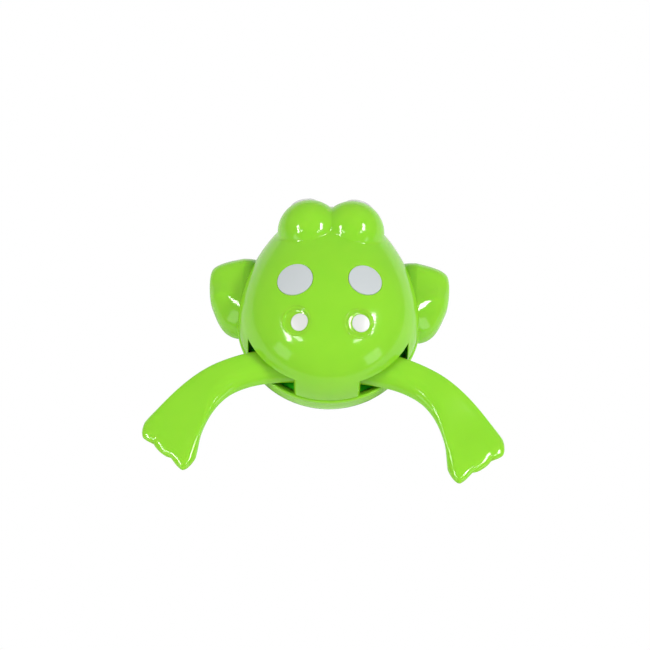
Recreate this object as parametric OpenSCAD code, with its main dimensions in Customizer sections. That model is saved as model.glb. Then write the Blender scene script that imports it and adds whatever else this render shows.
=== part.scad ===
// Wind-up swimming frog: two snapped shells, fixed arms, two kicking legs and a clockwork inside.
// Millimetres, +Z up, +Y towards the nose. The origin is the middle of the flat face under the belly.

/* [Body] */
// Width of the body at its widest level
body_w = 63.2; // [56:0.1:72]
// Length from the widest station back to the tail
tail_len = 31.6; // [28:0.1:36]
// Length from the widest station forward to the nose
nose_len = 43.8; // [40:0.1:50]
// Height of the widest level above the resting face
belly_h = 16; // [14.5:0.1:20]
// Depth of the belly's curve before the resting face cuts it
belly_depth = 18.5; // [18:0.1:24]
// Height of the upright rim above the widest level
rim_h = 1.5; // [1:0.1:3]
// Height of the back above the rim
dome_h = 24.5; // [22:0.5:30]
// Shell thickness
wall = 1.8; // [1.4:0.1:2.2]
// How far the rim bead stands proud of the shells
bead_proud = 0.4; // [0.2:0.1:0.8]
// Height of the rim bead
bead_h = 2.6; // [2:0.1:3.4]

/* [Leg slots] */
// Distance from the middle plane to the inner end of a slot
slot_in = 10.6; // [9.6:0.1:12]
// Distance from the middle plane to the outer end of a slot
slot_out = 27.3; // [26.8:0.1:28.5]
// Height of a slot above the rim
slot_h = 8.3; // [7.9:0.1:9.5]

/* [Eyes and spots] */
// Radius of an eye mound
eye_r = 11.3; // [10:0.1:12.5]
// Distance of an eye mound from the middle plane
eye_x = 7.4; // [6.5:0.1:9]
// How far the eye mounds' centres lie behind the body's front end
eye_back = 16.3; // [14:0.1:19]
// Height of the eye mounds' centres above the widest level
eye_h = 15.9; // [14:0.1:18]
// Diameter of an eye white
eye_white_d = 10.6; // [8:0.1:12]
// Diameter of a pupil
pupil_d = 5.4; // [4:0.1:6]
// Thickness of the eye whites, pupils, spots and dots
inlay_t = 0.8; // [0.6:0.1:1.1]
// Diameter of a back spot
spot_d = 13.3; // [11:0.1:15]
// Distance of a back spot from the middle plane
spot_x = 11.8; // [10:0.1:13]
// Place of the back spots in front of the widest station
spot_y = 2.5; // [1:0.1:5]
// Diameter of a dimple
dimple_d = 9.1; // [8.6:0.1:10]
// Depth of a dimple
dimple_depth = 1; // [0.6:0.1:1.1]
// Diameter of the dot in a dimple
dot_d = 6.6; // [5.6:0.1:7.4]
// Distance of a dimple from the middle plane
dimple_x = 10.3; // [9.5:0.1:11.5]
// Distance of the dimples behind the widest station
dimple_y = 13.4; // [12.5:0.1:14.5]

/* [Arms] */
// How far an elbow stands out beside the body
arm_out = 10.4; // [9:0.1:12]
// Length of an arm along the body, from the back of the shoulder to the wrist
arm_len = 35.5; // [33:0.5:38]
// How far an arm starts behind the widest station
arm_back = 5.5; // [4:0.1:7]
// Height of an elbow's middle above the resting face
arm_h = 16.5; // [15:0.1:18]
// Half thickness of an arm at the elbow
arm_r = 7.8; // [7:0.1:8.5]
// Diameter of the peg that plugs an arm into the lower shell
arm_peg_d = 6; // [5:0.1:7]
// Height of the peg above the resting face
arm_peg_h = 11; // [10:0.1:11.5]

/* [Legs] */
// Distance of a hip pin from the middle plane
hip_x = 11.5; // [11.2:0.1:12]
// Distance of the hip pins behind the widest station
hip_y = 19.5; // [19:0.1:20]
// Diameter of a hip pin
hip_pin_d = 3; // [2.4:0.1:3.2]
// Diameter of a leg's hub
hub_d = 8.8; // [8:0.1:9.4]
// Half width of a leg beside its hub
leg_root_r = 6.1; // [5.6:0.1:6.3]
// Reach of a foot sideways from its hip
leg_reach = 51; // [46:0.5:54]
// Reach of a foot backwards from its hip
leg_back = 36; // [32:0.5:40]
// Thickness of a leg at the hip
leg_t = 6; // [5.4:0.1:6.4]
// Thickness of the foot's web
foot_t = 3.2; // [2.6:0.1:4]
// How far a foot lies lower than its hip
foot_drop = 6.4; // [5:0.1:8]
// Length of the toes beyond the web
toe_len = 3.6; // [3:0.1:4]
// Angle of the legs in front of the middle of their stroke
kick_rest = 12.5; // [10:0.5:14]
// How much further forward the left leg is than the right one
kick_skew = 3.8; // [0:0.1:4.5]

/* [Clockwork] */
// Gear module
gear_m = 0.5; // [0.46:0.01:0.52]
// Teeth on the great wheel
great_teeth = 42; // [40:1:42]
// Teeth on the middle gear's pinion
middle_pinion_teeth = 10; // [10:1:11]
// Teeth on the middle gear's wheel
middle_teeth = 30; // [28:1:30]
// Teeth on the crank wheel's pinion
crank_pinion_teeth = 12; // [12:1:13]
// Face width of the thin wheels
gear_t = 1.8; // [1.4:0.1:2]
// Height of the motor's base above the resting face
motor_z = 11; // [10.9:0.1:11.4]
// Thickness of the motor's base and cover
plate_t = 1.5; // [1.2:0.1:1.6]
// Room between the great wheel's teeth and the sides of the motor's cover
cover_room = 0.45; // [0.35:0.05:0.9]
// Outer height of the motor's cover
cover_h = 15.5; // [15:0.1:17]
// Diameter of the winding arbor
arbor_d = 3; // [2.6:0.1:3.2]
// Diameter of the gear axles
axle_d = 1.6; // [1.4:0.1:1.8]
// Turns of the mainspring
spring_turns = 5; // [4:1:6]
// Thickness of the mainspring's strip
spring_t = 0.35; // [0.25:0.05:0.4]
// Height of the mainspring's strip
spring_h = 4.6; // [4:0.1:5]
// Teeth on the ratchet wheel
ratchet_teeth = 12; // [8:4:12]

/* [Winding knob] */
// Diameter of the well under the belly
well_d = 25; // [24:0.1:26]
// Depth of the well
well_h = 9; // [8:0.1:9.1]
// Diameter of the knob's flange
knob_d = 13; // [12:0.1:14]
// Thickness of the knob's wings
wing_t = 3.2; // [2.6:0.1:4]

/* [Fasteners] */
// Shank diameter of the shell screws
screw_d = 2.6; // [2.2:0.1:2.8]
// Head diameter of the shell screws
screw_head_d = 4.8; // [4.4:0.1:5.2]
// Shank diameter of the small screws
small_screw_d = 2; // [1.6:0.1:2.2]

/* [Hidden] */

// One overrun serves all cuts.
cut = 0.5;
// Clearance between pieces that are fitted or seated, and between a shaft and its bore
gap = 0.3;
fit = 0.05;
// Least clearance of whatever passes another piece
clear = 0.4;

// Shape of the body. The exponents square off the curves a little.
plan_n = 1;
dome_n = 2.3;
belly_n = 2.4;
ring_sides = 72;
dome_rings = 13;
belly_rings = 9;
half_w = body_w / 2;
seam_z = belly_h + rim_h;
top_z = seam_z + dome_h;

// The lap of the lower shell behind the upper one
lap_t = 0.8;
lap_h = 1;

$fn = 48;
fine_fn = 32;

green = [0.45, 0.80, 0.08];
white = [0.93, 0.93, 0.93];
black = [0.06, 0.06, 0.07];
steel = [0.72, 0.73, 0.75];
brass = [0.80, 0.62, 0.28];
ivory = [0.90, 0.88, 0.80];

// Point of the body's plan at an angle from the nose, drawn in from the outside by an inset
function plan_point(a, inset) =
    let (c = cos(a), tail = tail_len - inset, nose = nose_len - inset)
    [(half_w - inset) * sin(a), c * (tail + (nose - tail) * pow(max(c, 0), plan_n))];

// Level ring of the body at a share k of its plan
function body_ring(inset, k, z) =
    [for (i = [0 : ring_sides - 1]) let (p = plan_point(360 * i / ring_sides, inset)) [k * p[0], k * p[1], z]];

// Rounded square curve: share of the plan and share of the height at an angle
function curve_k(t, n) = pow(cos(t), 2 / n);
function curve_z(t, n) = pow(sin(t), 2 / n);

// Closed solid through rings that run clockwise seen from the last ring. The last may be a single point.
module loft(rings) {
    n = len(rings[0]);
    m = len(rings);
    tip = len(rings[m - 1]) == 1;
    last = tip ? m - 2 : m - 1;
    walls = [for (r = [0 : last - 1], i = [0 : n - 1]) let (j = (i + 1) % n)
        each [[r * n + i, r * n + j, (r + 1) * n + j], [r * n + i, (r + 1) * n + j, (r + 1) * n + i]]];
    top = tip
        ? [for (i = [0 : n - 1]) [last * n + i, last * n + (i + 1) % n, (last + 1) * n]]
        : [for (i = [1 : n - 2]) [last * n, last * n + i, last * n + i + 1]];
    bottom = [for (i = [1 : n - 2]) [0, i + 1, i]];
    polyhedron(points = [for (r = rings) each r], faces = concat(walls, top, bottom), convexity = 6);
}

// The back's outer form, drawn in by an inset and carried down past the seam by an overrun
module dome_form(inset, below) {
    rings = [for (i = [0 : dome_rings - 1]) let (t = 90 * i / dome_rings)
        body_ring(inset, curve_k(t, dome_n), seam_z + (dome_h - inset) * curve_z(t, dome_n))];
    start = below > 0 ? [body_ring(inset, 1, seam_z - below)] : [];
    loft(concat(start, rings, [[[0, 0, top_z - inset]]]));
}

// The belly's form with its flat face at a height, open upwards past the seam by an overrun
function belly_list(inset, floor_z) =
    let (depth = belly_depth - inset, t_end = asin(pow((belly_h - floor_z) / depth, belly_n / 2)))
    [for (i = [belly_rings : -1 : 0]) let (t = t_end * i / belly_rings)
        body_ring(inset, curve_k(t, belly_n), belly_h - depth * curve_z(t, belly_n))];

module belly_form(inset, floor_z, above) {
    loft(concat(belly_list(inset, floor_z), [body_ring(inset, 1, seam_z + above)]));
}

// Rim bead round the top of the lower shell, rounded above and below
module rim_bead() {
    soft = bead_proud / 2;
    loft([
        body_ring(wall / 2, 1, seam_z - bead_h),
        body_ring(-bead_proud, 1, seam_z - bead_h + 2 * bead_proud),
        body_ring(-bead_proud, 1, seam_z - soft),
        body_ring(-soft, 1, seam_z),
        body_ring(wall / 2, 1, seam_z)
    ]);
}

// Height of the back's surface over a place on the plan
function level_share(x, y) =
    let (r = norm([x, y]), c = r > 0 ? y / r : 1, reach = dist_to_edge(x, y)) reach > 0 ? r / reach : 0;
// Distance from the origin to the plan's edge in the direction of a place, by halving the angle's range
function dist_to_edge(x, y) =
    let (a = edge_angle(abs(x), y, 0, 180, 18), p = plan_point(a, 0)) norm(p);
function edge_angle(x, y, lo, hi, n) =
    let (mid = (lo + hi) / 2, p = plan_point(mid, 0))
    n == 0 ? mid : (p[0] * y - p[1] * x > 0 ? edge_angle(x, y, lo, mid, n - 1) : edge_angle(x, y, mid, hi, n - 1));
function back_z(x, y) = seam_z + dome_h * pow(1 - pow(level_share(x, y), dome_n), 1 / dome_n);

// Direction square to the back at a place, by the slopes over a small step
probe = body_w / 600;
function back_normal(x, y) =
    let (
        sx = (back_z(x + probe, y) - back_z(x - probe, y)) / (2 * probe),
        sy = (back_z(x, y + probe) - back_z(x, y - probe)) / (2 * probe)
    )
    [-sx, -sy, 1] / norm([-sx, -sy, 1]);

// Places children on the back's surface with their Z axis square to it
module on_back(x, y) {
    n = back_normal(x, y);
    translate([x, y, back_z(x, y)]) rotate([0, acos(n[2]), atan2(n[1], n[0])]) children();
}

module both_sides() {
    children();
    mirror([1, 0, 0]) children();
}

// Eye mounds
eye_y = nose_len - eye_back;
eye_z = belly_h + eye_h;
eye_turn = 12;
eye_tilt = 4;

// Places children at the middle of an eye mound, Z axis along the gaze
module at_eye() {
    translate([eye_x, eye_y, eye_z]) rotate([0, 0, -eye_turn]) rotate([-90 + eye_tilt, 0, 0]) children();
}

// Slots for the legs, in the upper shell's rear wall
module slot_cut(above) {
    translate([slot_in, -tail_len - cut, seam_z - cut])
        cube([slot_out - slot_in, tail_len * slot_reach_share, cut + above]);
}
slot_reach_share = 0.7;

// Shell screws: a front pair and a middle pair, driven up through the lower shell
front_screw_x_share = 0.48;
front_screw_y_share = 0.6;
middle_screw_x_share = 0.74;
middle_screw_y_share = 0.05;
screw_places = [
    [half_w * front_screw_x_share, nose_len * front_screw_y_share],
    [half_w * middle_screw_x_share, -tail_len * middle_screw_y_share]
];
screw_boss_r = screw_head_d / 2 + 0.8 * wall / 2;
post_r = screw_d;
pilot_r = screw_d / 2 - fit;
screw_seat_share = 0.5;
screw_seat_z = belly_h * screw_seat_share;
screw_bite = 2.6 * screw_d;

// Hips
hub_r = hub_d / 2;
hip_pin_r = hip_pin_d / 2;
hip_boss_r = hip_pin_r + wall;
washer_t = 0.4;
washer_r = hub_r - wall / 2;
leg_mid_z = seam_z + gap + leg_t / 2 + clear;
hub_z = leg_mid_z - leg_t / 2 - gap;
hub_top = leg_mid_z + leg_t / 2;
hip_boss_top = hub_z - washer_t - fit;
hip_pin_share = 0.4;
hip_pin_z = belly_h * hip_pin_share;
hip_pin_top = hub_top + wall;
hip_socket_z = hub_top + gap;

// Crank: where the two levers' middle lines cross at rest
lever_lag = kick_skew / 2;
tan_right = tan(kick_rest - lever_lag);
tan_left = tan(kick_rest + lever_lag);
crank_pin_x = hip_x * (tan_right - tan_left) / (tan_right + tan_left);
crank_pin_y = -2 * hip_x * tan_right * tan_left / (tan_right + tan_left);
crank_r = norm([crank_pin_x, crank_pin_y]);
crank_pin_r = axle_d / 2;
crank_y = -hip_y;

// Gear train, from the crank forwards along the middle plane
function pitch_r(teeth) = gear_m * teeth / 2;
middle_y = crank_y + pitch_r(middle_teeth) + pitch_r(crank_pinion_teeth);
arbor_y = middle_y + pitch_r(middle_pinion_teeth) + pitch_r(great_teeth);
base_top = motor_z + plate_t;
low_z = base_top + clear;
high_z = low_z + gear_t + clear;
pinion_t = 1.4 * gear_t;
great_top = high_z + pinion_t;
ratchet_z = great_top + gap;
spring_z = ratchet_z + gear_t + clear;
cover_top = base_top + cover_h;
cover_r = pitch_r(great_teeth) + gear_m + clear + wall / 2;
cover_wall = wall / 2 + gap / 2;
cover_w = 2 * (pitch_r(great_teeth) + gear_m + cover_room + cover_wall);
arbor_r = arbor_d / 2;
axle_r = axle_d / 2;
crank_disc_z = low_z + gear_t;
crank_disc_t = gear_t * 0.8;
crank_disc_r = crank_r + crank_pin_r + wall / 2;
crank_disc_top = crank_disc_z + crank_disc_t;

// Winding knob
well_r = well_d / 2;
knob_flange_t = wall * 0.8;
knob_top = well_h - gap;
knob_bottom = wall * 0.6;
knob_r = knob_d / 2;

// Gear tooth profile: an involute flank by four radii, with thinned teeth for backlash
pressure_angle = 20;
backlash_share = 0.12;
addendum_share = 0.85;
dedendum_share = 1.2;
function involute(a) = tan(a) * 180 / PI - a;
function flank_angle(teeth, r) =
    let (rp = pitch_r(teeth), rb = rp * cos(pressure_angle))
    90 / teeth * (1 - backlash_share) + involute(pressure_angle) - (r > rb ? involute(acos(rb / r)) : 0);
function gear_radii(teeth) =
    let (rp = pitch_r(teeth), rb = rp * cos(pressure_angle), root = rp - dedendum_share * gear_m)
    [root, max(root + 0.2 * gear_m, rb), rp, rp + addendum_share * gear_m];
function gear_points(teeth) =
    let (rr = gear_radii(teeth))
    [for (k = [0 : teeth - 1], s = [-1, 1], i = [0 : 3])
        let (r = rr[s < 0 ? i : 3 - i], a = 360 * k / teeth + s * flank_angle(teeth, r)) [r * cos(a), r * sin(a)]];

// Spur gear with a tooth pointing along an angle
module gear(teeth, t, point_at) {
    rotate(point_at) linear_extrude(t) polygon(gear_points(teeth));
}

// Round tube, closed below unless the bore runs through
module tube(r, bore_r, h) {
    difference() {
        cylinder(r = r, h = h);
        translate([0, 0, -cut]) cylinder(r = bore_r, h = h + 2 * cut);
    }
}

// Upper shell: the back with eye mounds, leg slots, spot recesses, dimples, screw posts and hip sockets
module upper_shell() color(green) {
    difference() {
        union() {
            difference() {
                union() {
                    dome_form(0, 0);
                    both_sides() translate([eye_x, eye_y, eye_z]) sphere(r = eye_r);
                }
                dome_form(wall, cut);
                both_sides() translate([eye_x, eye_y, eye_z]) sphere(r = eye_r - wall);
            }
            intersection() {
                dome_form(wall / 2, 0);
                both_sides() {
                    for (p = screw_places)
                        translate([p[0], p[1], seam_z + gap]) cylinder(r = post_r, h = dome_h);
                    translate([hip_x, -hip_y, hip_socket_z]) cylinder(r = hip_boss_r, h = dome_h);
                }
            }
        }
        both_sides() {
            slot_cut(slot_h);
            for (p = screw_places)
                translate([p[0], p[1], seam_z]) cylinder(r = pilot_r, h = screw_bite + gap);
            translate([hip_x, -hip_y, hip_socket_z - cut]) cylinder(r = hip_pin_r + fit, h = wall + cut + gap);
            on_back(spot_x, spot_y) spot_recess(spot_d / 2 + fit);
            on_back(dimple_x, -dimple_y) {
                translate([0, 0, -dimple_depth]) cylinder(r = dimple_d / 2, h = dome_h);
                translate([0, 0, -dimple_depth - inlay_t / 2]) cylinder(r = dot_d / 2 + fit, h = dome_h);
            }
            at_eye() translate([0, 0, eye_r - inlay_t]) cylinder(r = eye_white_d / 2 + fit, h = eye_r);
        }
    }
}

// Space of a back spot: everything within its radius that lies near the surface
module spot_recess(r) {
    translate([0, 0, -spot_sink - inlay_t]) cylinder(r = r, h = dome_h);
}
// How far the back falls away from its tangent plane at a spot's edge
spot_sink = pow(spot_d / 2, 2) / (2 * half_w);

// White spots let into the back, flush with it
module back_spots() color(white) both_sides() intersection() {
    dome_form(0, 0);
    on_back(spot_x, spot_y) translate([0, 0, -spot_sink - inlay_t + fit]) cylinder(r = spot_d / 2, h = dome_h / 2);
}

// White dots standing in the dimples
module dimple_dots() color(white) both_sides() on_back(dimple_x, -dimple_y)
    translate([0, 0, -dimple_depth - inlay_t / 2 + fit]) cylinder(r = dot_d / 2, h = inlay_t);

// Eye whites: shallow caps of a ball that follow the mound, with a seat for the pupil
eye_white_r = eye_white_d / 2;
eye_bulge = 0.5;
cap_fn = 120;
module eye_whites() color(white) both_sides() at_eye() difference() {
    intersection() {
        sphere(r = eye_r + eye_bulge, $fn = cap_fn);
        translate([0, 0, eye_r - inlay_t + fit]) cylinder(r = eye_white_r, h = eye_r);
    }
    translate([0, 0, eye_r + eye_bulge - inlay_t]) cylinder(r = pupil_d / 2 + fit, h = eye_r);
}

module pupils() color(black) both_sides() at_eye() intersection() {
    sphere(r = eye_r + 1.5 * eye_bulge, $fn = cap_fn);
    translate([0, 0, eye_r + eye_bulge - inlay_t + fit]) cylinder(r = pupil_d / 2, h = eye_r);
}

// Lower shell: the belly with its knob well, rim bead, bosses and arm sockets
module lower_shell() color(green) {
    difference() {
        union() {
            difference() {
                union() {
                    belly_form(0, 0, 0);
                    rim_bead();
                }
                belly_form(wall, wall, cut);
            }
            lap();
            translate([0, arbor_y, 0]) cylinder(r = well_r + wall, h = well_h + wall);
            both_sides() intersection() {
                belly_form(wall / 2, 0, cut);
                union() {
                    for (p = screw_places)
                        translate([p[0], p[1], 0]) cylinder(r = screw_boss_r, h = seam_z - gap / 2);
                    translate([hip_x, -hip_y, 0]) cylinder(r = hip_boss_r, h = hip_boss_top);
                    for (p = ear_places)
                        translate([p[0], p[1], 0]) cylinder(r = ear_r, h = motor_z);
                }
            }
        }
        translate([0, arbor_y, -cut]) cylinder(r = well_r, h = well_h + cut);
        translate([0, arbor_y, 0]) cylinder(r = arbor_r + gap, h = motor_z + cut);
        both_sides() {
            for (p = screw_places) {
                translate([p[0], p[1], -cut]) cylinder(r = screw_head_d / 2 + fit, h = screw_seat_z + cut);
                translate([p[0], p[1], 0]) cylinder(r = screw_d / 2 + fit, h = top_z);
            }
            translate([hip_x, -hip_y, hip_pin_z]) cylinder(r = hip_pin_r, h = top_z);
            for (p = ear_places)
                translate([p[0], p[1], motor_z - ear_bite]) cylinder(r = small_screw_d / 2 - fit, h = top_z);
            translate([half_w - arm_socket, arm_peg_y, arm_peg_h]) rotate([0, 90, 0])
                cylinder(r = arm_peg_d / 2 + fit, h = half_w);
        }
        for (p = drain_places)
            translate([p[0], p[1], -cut]) cylinder(r = drain_r, h = wall + 2 * cut);
    }
}
ear_bite = 5;
drain_r = 1.2;
drain_places = [for (s = [-1, 1]) [s * half_w * 0.36, arbor_y - well_r - wall - drain_r]];
arm_socket = 2.6 * wall;
arm_peg_y = 2;

// Lap inside the rim that locates the upper shell, cleared at the slots
module lap() {
    difference() {
        loft([
            body_ring(wall / 2, 1, seam_z - lap_h),
            body_ring(wall / 2, 1, seam_z),
            body_ring(wall + fit, 1, seam_z),
            body_ring(wall + fit, 1, seam_z + lap_h)
        ]);
        loft([for (z = [seam_z - lap_h - cut, seam_z + lap_h + cut]) body_ring(wall + fit + lap_t, 1, z)]);
        both_sides() for (s = [-cut, cut]) translate([s, 0, 0]) slot_cut(slot_h);
        both_sides() for (p = screw_places)
            translate([p[0], p[1], seam_z]) cylinder(r = post_r + gap, h = lap_h + cut);
    }
}

// Arm: a bent limb lofted from level-standing rings along the body, then a flat hand with three fingers.
// Each row is a share of the arm's length, of its reach outside and inside, of its height and thickness.
arm_shares = [
    [0.000, -0.070, 0.82, 0.80, 0.12],
    [0.073, 0.354, 0.81, 0.82, 0.60],
    [0.155, 0.630, 0.81, 0.86, 0.82],
    [0.293, 0.870, 0.81, 0.94, 0.96],
    [0.400, 0.990, 0.81, 1.00, 1.00],
    [0.575, 1.030, 0.81, 1.03, 0.99],
    [0.700, 0.990, 0.81, 1.00, 0.95],
    [0.780, 0.860, 0.79, 0.88, 0.90],
    [0.853, 0.690, 0.77, 0.67, 0.76],
    [0.915, 0.536, 0.74, 0.43, 0.52],
    [0.963, 0.435, 0.73, 0.28, 0.34],
    [1.000, 0.354, 0.72, 0.21, 0.24]
];
arm_steps = 2;
arm_sides = 20;

// Smooth curve through a list of rows, at segment i and share t of it
function through(rows, i, t) =
    let (
        n = len(rows) - 1, b = rows[i], c = rows[i + 1],
        a = i > 0 ? rows[i - 1] : 2 * b - c, d = i + 2 <= n ? rows[i + 2] : 2 * c - b
    )
    0.5 * (2 * b + (c - a) * t + (2 * a - 5 * b + 4 * c - d) * t * t + (3 * b - a - 3 * c + d) * t * t * t);

arm_line = [for (i = [0 : len(arm_shares) - 2], j = [0 : arm_steps - 1]) through(arm_shares, i, j / arm_steps),
    arm_shares[len(arm_shares) - 1]];

function unit(v) = v / norm(v);

// Ring of the arm across the body, its points kept outside the body's side and its top falling outwards
function arm_ring(row) =
    let (
        y = row[0] * arm_len - arm_back, out = body_w / 2 + row[1] * arm_out, in = row[2] * body_w / 2,
        ramp = smooth((row[0] - hand_share) / (1 - hand_share))
    )
    [for (k = [0 : arm_sides - 1])
        let (a = 360 * (k + 0.5) / arm_sides, v = 0.5 - 0.5 * signed_pow(cos(a), arm_square_share))
        fall_out(sqrt(max(-sin(a), 0)), beside_body([out * v + in * (1 - v), y + finger(v) * ramp,
            row[3] * arm_h - row[4] * arm_r * signed_pow(sin(a), arm_square_share)]))];
hand_share = 0.86;
arm_square_share = 0.62;
arm_fall_share = 0.42;
function fall_out(top, p) = [p[0], p[1], p[2] - arm_fall_share * top * max(p[0] - body_w / 2, 0)];

// Half width of the body's side at a place along it and a height
function plan_angle(y, lo, hi, n) =
    let (mid = (lo + hi) / 2)
    n == 0 ? mid : (plan_point(mid, 0)[1] > y ? plan_angle(y, mid, hi, n - 1) : plan_angle(y, lo, mid, n - 1));
function level_k(z) =
    z > seam_z ? pow(1 - pow((z - seam_z) / dome_h, dome_n), 1 / dome_n)
    : z > belly_h ? 1
    : pow(1 - pow((belly_h - z) / belly_depth, belly_n), 1 / belly_n);
function side_x(y, z) = let (k = level_k(z)) k * plan_point(plan_angle(y / k, 0, 180, 16), 0)[0];
// Moves a point of the arm out past the body's side where it would lie inside, and above the resting face
function above_limit(x, limit) = limit + (x - limit + norm([x - limit, wall / 2])) / 2;
function beside_body(p) =
    let (z = above_limit(p[2], gap)) [above_limit(p[0], side_x(p[1], z) + bead_proud + gap), p[1], z];

// How far the hand's end runs on past the wrist at a share across it: three fingers
finger_len = 2.4;
finger_places_share = 0.44;
function finger(v) = finger_len * pow(abs(cos(180 * (v - 0.5) / finger_places_share)), 1.2);

module right_arm_form() {
    strip_loft([for (row = arm_line) arm_ring(row)]);
    translate([half_w - arm_socket + gap, arm_peg_y, arm_peg_h]) rotate([0, 90, 0])
        cylinder(r = arm_peg_d / 2, h = arm_socket + wall);
}

module right_arm() color(green) right_arm_form();
module left_arm() color(green) mirror([1, 0, 0]) right_arm_form();

// Leg: its front and rear edges are cubic curves from the hip to the foot.
// Rows are shares of the reach sideways and backwards.
front_edge_shares = [[0.00, 0.00], [0.42, 0.04], [0.72, 0.30], [0.985, 0.85]];
rear_edge_shares = [[0.00, 0.00], [0.36, 0.04], [0.57, 0.235], [0.625, 0.86]];
leg_rings = 24;
leg_sides = 20;
leg_start_share = -0.45;
edge_n = 3.4;

function cubic(p, t) =
    pow(1 - t, 3) * p[0] + 3 * pow(1 - t, 2) * t * p[1] + 3 * (1 - t) * t * t * p[2] + pow(t, 3) * p[3];
leg_start = hub_r * leg_start_share / leg_reach;
function edge_rows(shares, side) = [for (s = shares) [leg_reach * s[0], side * leg_root_r - leg_back * s[1]]];
function smooth(t) = let (s = min(max(t, 0), 1)) s * s * (3 - 2 * s);
function signed_pow(x, n) = sign(x) * pow(abs(x), n);

drop_start_share = 0.42;
drop_run_share = 0.68;
toe_ramp_start = 0.8;
foot_round = 0.94;
toe_places_shares = [0.1, 0.47, 0.85];
toe_half_share = 0.2;
toe_base_share = 0.3;
toe_slope_share = 0.45;
toe_bump_share = 0.45;
corner_share = 0.12;
corner_depth_share = 0.7;
// How far the foot's end runs on past the web at a share across it: three rounded toes, rounded corners
function toe(v) =
    let (
        bump = max([for (c = toe_places_shares) sqrt(max(0, 1 - pow((v - c) / toe_half_share, 2)))]),
        past = (abs(v - 0.5) - 0.5 + corner_share) / corner_share,
        corner = past > 0 ? sqrt(max(0, 1 - past * past)) : 1,
        out = toe_base_share + toe_slope_share * v + toe_bump_share * bump
    )
    toe_len * ((out + corner_depth_share) * corner - corner_depth_share);

function leg_ring(u) =
    let (
        f = cubic(edge_rows(front_edge_shares, 1), u),
        r = cubic(edge_rows(rear_edge_shares, -1), u),
        ahead = unit(cubic(edge_rows(front_edge_shares, 1), u) - cubic(edge_rows(front_edge_shares, 1), u - 0.05)
            + cubic(edge_rows(rear_edge_shares, -1), u) - cubic(edge_rows(rear_edge_shares, -1), u - 0.05)),
        z = leg_mid_z - foot_drop * smooth((u - drop_start_share) / drop_run_share),
        thin = u > foot_round ? sqrt(1 - pow((u - foot_round) / (1 - foot_round) * 0.85, 2)) : 1,
        half_t = (leg_t + (foot_t - leg_t) * smooth((u - 0.15) / 0.7)) / 2 * thin,
        ramp = smooth((u - toe_ramp_start) / (1 - toe_ramp_start))
    )
    [for (k = [0 : leg_sides - 1])
        let (
            a = 360 * (k + 0.5) / leg_sides,
            v = 0.5 - 0.5 * signed_pow(cos(a), 2 / edge_n),
            p = f * (1 - v) + r * v + ahead * toe(v) * ramp
        )
        [p[0], p[1], z - half_t * signed_pow(sin(a), 2 / edge_n)]];

// Right leg about its hip at the origin of the plan, in the middle of the two legs' rest places
module leg_form(lever_z) {
    difference() {
        union() {
            strip_loft([for (i = [0 : leg_rings]) leg_ring(leg_start + (1 - leg_start) * i / leg_rings)]);
            translate([0, 0, hub_z]) cylinder(r = hub_r, h = hub_top - hub_z);
            lever(lever_z);
        }
        translate([0, 0, hub_z - cut]) cylinder(r = hip_pin_r + fit, h = hub_top - hub_z + 2 * cut);
    }
}

// Closed solid through rings of an even count, its two ends closed in strips from the upper to the lower side
module strip_loft(rings) {
    n = len(rings[0]);
    m = len(rings);
    walls = [for (r = [0 : m - 2], i = [0 : n - 1]) let (j = (i + 1) % n)
        each [[r * n + i, r * n + j, (r + 1) * n + j], [r * n + i, (r + 1) * n + j, (r + 1) * n + i]]];
    e = (m - 1) * n;
    start = [for (i = [0 : n / 2 - 2]) each [[i, n - 1 - i, i + 1], [i + 1, n - 1 - i, n - 2 - i]]];
    end = [for (i = [0 : n / 2 - 2]) each [[e + i, e + i + 1, e + n - 1 - i], [e + i + 1, e + n - 2 - i, e + n - 1 - i]]];
    polyhedron(points = [for (r = rings) each r], faces = concat(walls, start, end), convexity = 6);
}

// Lever with a slot for the crank pin, lying across the middle plane halfway through the stroke
lever_t = leg_t * 0.36;
lever_w = 2 * crank_pin_r + 2 * wall * 0.7;
lever_slot = crank_r + crank_pin_r + gap;
lever_end = lever_slot + wall * 0.6;
module lever(z) {
    rotate(kick_rest) translate([0, 0, z]) difference() {
        translate([-hip_x / cos(kick_rest) - lever_end, -lever_w / 2, 0])
            cube([hip_x / cos(kick_rest) + lever_end, lever_w, lever_t]);
        translate([-hip_x / cos(kick_rest) - lever_slot, -crank_pin_r - fit, -cut])
            cube([2 * lever_slot, 2 * (crank_pin_r + fit), lever_t + 2 * cut]);
    }
}

lower_lever_z = hub_z + gap / 2;
upper_lever_z = lower_lever_z + lever_t + clear;
module right_leg() color(green) translate([hip_x, -hip_y, 0]) rotate(-kick_skew / 2) leg_form(upper_lever_z);
module left_leg() color(green) translate([-hip_x, -hip_y, 0]) rotate(-kick_skew / 2) mirror([1, 0, 0])
    leg_form(lower_lever_z);

// Hip pins, pressed into the lower shell and running in the legs
module hip_pins() color(steel) both_sides() translate([hip_x, -hip_y, hip_pin_z])
    cylinder(r = hip_pin_r, h = hip_pin_top - hip_pin_z);

module hip_washers() color(steel) both_sides() translate([hip_x, -hip_y, hip_boss_top])
    tube(washer_r, hip_pin_r + fit, washer_t);

// Pan-head screw with a cross recess, its head downwards and its shank up from z = 0
module screw(shank_r, head_r, length) {
    head_h = 0.7 * head_r;
    recess = 0.5 * head_h;
    difference() {
        union() {
            cylinder(r = shank_r, h = length);
            translate([0, 0, -head_h]) cylinder(r = head_r, h = head_h);
        }
        for (a = [0, 90]) rotate(a)
            translate([-0.6 * head_r, -0.12 * head_r, -head_h - cut]) cube([1.2 * head_r, 0.24 * head_r, recess + cut]);
    }
}

module shell_screws() color(steel) both_sides() for (p = screw_places) translate([p[0], p[1], screw_seat_z])
    screw(pilot_r, screw_head_d / 2, seam_z + screw_bite - screw_seat_z);

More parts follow.
